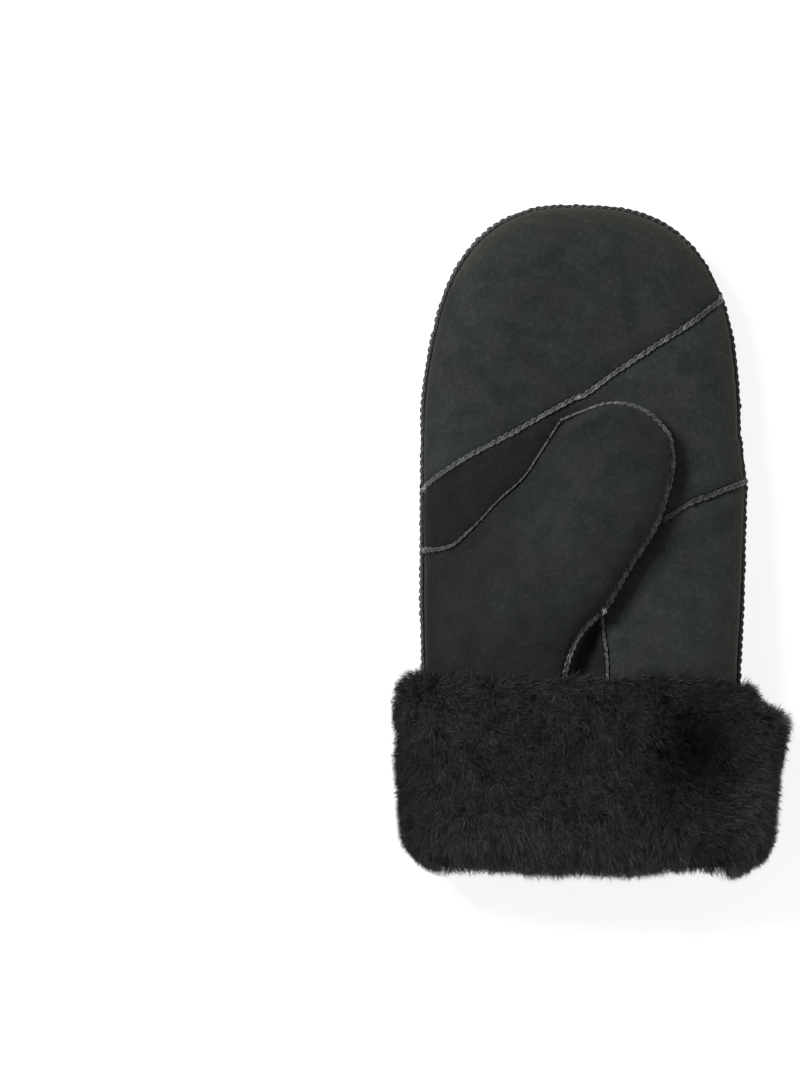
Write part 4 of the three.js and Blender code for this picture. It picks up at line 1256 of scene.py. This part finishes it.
bpy.ops.object.select_all(action="DESELECT")
bpy.ops.mesh.primitive_grid_add(x_subdivisions=1, y_subdivisions=STRAND_STEPS, size=1)
strand = bpy.context.object
for vertex in strand.data.vertices:
    vertex.select = vertex.co.y > 0.4
for edge in strand.data.edges:
    edge.select = all(strand.data.vertices[v].select for v in edge.vertices)
for face in strand.data.polygons:
    face.select = False
bpy.ops.object.mode_set(mode="EDIT")
bpy.ops.mesh.merge(type="CENTER")
bpy.ops.object.mode_set(mode="OBJECT")
strand_across = np.array([vertex.co.x * 2 for vertex in strand.data.vertices])
strand_along = np.array([vertex.co.y + 0.5 for vertex in strand.data.vertices])
strand_faces = [tuple(p.vertices) for p in strand.data.polygons]
bpy.data.objects.remove(strand)
print("one strand:", len(strand_faces), "faces")


# %% Scattering strands over a form
LOCK_SHARE = 0.09
LOCK_DRAW = 0.35
STRAY_SHARE = 0.06
FLOW_SEED = 1

# Without a seed the vector noise comes out differently in every run
noise.seed_set(FLOW_SEED)


def scattered(form, count, rng, keep):
    """Random places, evenly spread over the faces that keep() accepts"""
    mesh = form.data
    mesh.calc_loop_triangles()
    corners = np.empty(len(mesh.loop_triangles) * 3, np.int32)
    mesh.loop_triangles.foreach_get("vertices", corners)
    triangles = corners.reshape(-1, 3)
    places = places_of(form) / MM
    normals = places_of(form, "normal")
    a, b, c = (places[triangles[:, i]] for i in range(3))
    areas = np.linalg.norm(np.cross(b - a, c - a), axis=1) / 2
    areas = areas * keep(places[triangles].mean(axis=1), normals[triangles].mean(axis=1))
    picked = rng.choice(len(triangles), count, p=areas / areas.sum())
    r1, r2 = rng.random((2, count))
    flip = r1 + r2 > 1
    r1[flip], r2[flip] = 1 - r1[flip], 1 - r2[flip]
    weights = np.stack([1 - r1 - r2, r1, r2], axis=1)[..., None]
    roots = (places[triangles[picked]] * weights).sum(axis=1)
    return roots, unit((normals[triangles[picked]] * weights).sum(axis=1))


def flattened(directions, ups):
    """Directions without their part that points out of the skin"""
    return directions - ups * np.sum(directions * ups, axis=1)[:, None]


def combed(roots, rng):
    """Which way the pile leans at each place, and how far, before it is laid on the form"""
    x, y = roots[:, 0], roots[:, 1]
    wander = np.array([noise.noise_vector(Vector(p) / 30) for p in roots])
    ruffle = np.array([noise.noise_vector(Vector(p) / 4.5 + Vector((7, 0, 0))) for p in roots])
    lean = 0.55 * wander + 0.85 * ruffle + rng.normal(0, 0.35, roots.shape)
    lean[:, 0] += 0.1 + 0.5 * smooth(20, 70, x) - 0.6 * smooth(-55, -75, x)
    lean[:, 0] += 0.45 * smooth(-62, -54, y) * smooth(-60, -45, x)
    lean[:, 1] -= 0.35 - 0.2 * smooth(-62, -54, y) + 0.6 * smooth(-95, -120, y)
    return lean


def strand_mesh(name, places, shade):
    """All strands as one mesh; its PileMap holds each strand's tone and the way along it"""
    count, block = places.shape[:2]
    flat_faces = np.concatenate([np.array(face) for face in strand_faces])
    sizes = np.array([len(face) for face in strand_faces])
    loops = (np.arange(count)[:, None] * block + flat_faces[None, :]).ravel()
    mesh = bpy.data.meshes.new(name)
    mesh.vertices.add(count * block)
    mesh.vertices.foreach_set("co", (places * MM).ravel())
    mesh.loops.add(len(loops))
    mesh.loops.foreach_set("vertex_index", loops.astype(np.int32))
    mesh.polygons.add(count * len(sizes))
    starts = np.concatenate([[0], np.cumsum(np.tile(sizes, count))[:-1]])
    mesh.polygons.foreach_set("loop_start", starts.astype(np.int32))
    mesh.polygons.foreach_set("use_smooth", np.ones(count * len(sizes), bool))
    uv = np.stack([np.repeat(shade, block), np.tile(strand_along, count)], axis=1)
    mesh.uv_layers.new(name="PileMap").data.foreach_set("uv", uv[loops].ravel())
    mesh.update(calc_edges=True)
    mesh.validate()
    piece = bpy.data.objects.new(name, mesh)
    bpy.context.scene.collection.objects.link(piece)
    return piece


# %% Painted shade and light, and shearing
# Soft patches of painted shade and painted light in the pile: middle x and y, half width and half height,
# tone
PILE_PAINTED_SHADE_AND_LIGHT = (
    (36, -76, 18, 20, 0.05),
    (22, -70, 9, 6, 1.8),
    (-80, -100, 13, 44, 0.05),
    (62, -100, 9, 24, 1.9),
    (70, -64, 9, 9, 2.2),
    (0, -131, 90, 11, 2.6),
    (50, -131, 14, 6, 1.5),
)
# How low the pile reaches, by x
HEM = {
    "x": (-78, -72, -65, -58, -46, -32, -20, 0, 12, 18, 29, 41, 47, 53, 59, 65, 68, 71, 75),
    "y": (114, 123, 127, 129, 128, 129, 132, 132, 132, 130, 127, 128, 131, 133, 132, 128, 122, 115, 102),
}
CUT_BACK = 3.2


def pile_painted_shade_and_light(x, y):
    tone = np.ones(len(x))
    for middle_x, middle_y, width, height, level in PILE_PAINTED_SHADE_AND_LIGHT:
        inside = np.exp(-(((x - middle_x) / width) ** 2) - ((y - middle_y) / height) ** 2)
        tone *= 1 + (level - 1) * inside
    return tone


def sheared(places, rng):
    """The pile is sheared round the cuff's outline, so only a few wisps pass far beyond it"""
    x, y = places[..., 0], places[..., 1]
    wisps = np.maximum(0, np.sin(1.7 * (x + y) + 2.1 * np.sin(0.43 * (x - y)))) ** 2
    spared = rng.random((len(places), 1))
    ragged = 0.3 + 5.5 * spared**3 + 2 * wisps
    inside = CUT_BACK * (1 - spared)
    for column, sign in (("left", -1), ("right", 1)):
        limit = np.abs(row_at(CUFF_ROWS, y, column)) + 0.8 - inside
        over = np.maximum(0, sign * x - limit)
        x -= sign * (over - ragged * (1 - np.exp(-over / ragged)))
    over = np.maximum(0, inside - y - np.interp(x, HEM["x"], HEM["y"]))
    y += over - ragged * (1 - np.exp(-over / ragged))


# %% Growing a patch of pile
def grow_pile(name, form, count, seed, keep, length, tilt):
    rng = np.random.default_rng(seed)
    roots, ups = scattered(form, count, rng, keep)
    lean = flattened(combed(roots, rng), ups)
    pull_over = np.linalg.norm(lean, axis=1)
    lean = lean / np.maximum(pull_over, 1e-6)[:, None]
    lengths = length * rng.uniform(0.75, 1.2, count)
    angle = np.radians(tilt * np.minimum(1.25, pull_over) + rng.normal(0, 8, count))
    locks = rng.choice(count, int(count * LOCK_SHARE), replace=False)
    lock_tree = kdtree.KDTree(len(locks))
    for i, lock in enumerate(locks):
        lock_tree.insert(roots[lock], i)
    lock_tree.balance()
    own = np.array([locks[lock_tree.find(root)[1]] for root in roots])
    s = strand_along[None, :, None]
    curl = rng.uniform(0.25, 0.7, count)
    curl_way = unit(flattened(lean + rng.normal(0, 0.7, (count, 3)), ups))
    sideways = unit(np.cross(ups, lean + curl_way) + rng.normal(0, 0.3, (count, 3)))

    def path(i):
        rise = np.cos(angle[i])[:, None, None]
        run = np.sin(angle[i])[:, None, None]
        hook = curl[i][:, None, None] * s**2.5
        out = ups[i][:, None] * (rise * s - hook * 0.7)
        side = lean[i][:, None] * run * s + curl_way[i][:, None] * hook * 0.7
        return lengths[i][:, None, None] * (out + side)

    stray = rng.random(count) < STRAY_SHARE
    pull = np.where(stray, 0.0, LOCK_DRAW * rng.uniform(0.6, 1.1, count))[:, None, None] * s**1.4
    middle = (roots[:, None] + path(np.arange(count))) * (1 - pull)
    middle += (roots[own][:, None] + path(own)) * pull
    half_width = STRAND_WIDTH / 2 * rng.uniform(0.7, 1.3, count)
    spread = half_width[:, None] * strand_across[None, :] * (1 - 0.5 * strand_along[None, :])
    places = middle + sideways[:, None] * spread[..., None]
    sheared(places, rng)
    places[..., 2] = np.maximum(places[..., 2], 0.25)
    shade = (0.08 + 0.72 * rng.beta(1.0, 3.2, count)) * rng.uniform(0.7, 1.3, count)[own]
    # The pile's painted shade and painted light are multiplied into each strand's tone
    shade = np.clip(shade * pile_painted_shade_and_light(roots[:, 0], roots[:, 1]), 0, 1)
    dress(strand_mesh(name, places, shade), dyed_wool, "wool_pile", "fur_cuff")


# %% The pile
PARTING_X = -4
TOP_END = -116
RIM_END = -115


def is_top(middles, normals):
    return (normals[:, 2] > 0.25) & (middles[:, 1] > TOP_END) & (middles[:, 2] > 30)


def is_inside(middles, normals):
    inner = reach(middles[:, 0], middles[:, 1], 3) < 1
    return inner & (np.abs(middles[:, 2] - lift(middles[:, 1])) < 15) & (middles[:, 1] < -100)


def is_under(middles, normals):
    return (normals[:, 2] <= -0.5) & (middles[:, 1] >= RIM_END) & ~is_inside(middles, normals)


# Strands, the faces that they grow on, and the length and the tilt of the wool
PILE = {
    "wool_pile_thumb_side": (36000, lambda m, n: is_top(m, n) & (m[:, 0] < PARTING_X), 8.0, 48),
    "wool_pile_finger_side": (36000, lambda m, n: is_top(m, n) & (m[:, 0] >= PARTING_X), 8.0, 48),
    "wool_pile_rim": (30000, lambda m, n: ~(is_top(m, n) | is_inside(m, n) | is_under(m, n)), 9.0, 48),
    "wool_pile_back": (8000, is_under, 7.0, 75),
    "wool_pile_mouth": (5000, is_inside, 6.0, 50),
}
for seed, (name, (count, keep, length, tilt)) in enumerate(PILE.items(), 1):
    grow_pile(name, cuff_base, count, seed, keep, length, tilt)
print("all new pieces:", sum(made_triangles.values()), "triangles")
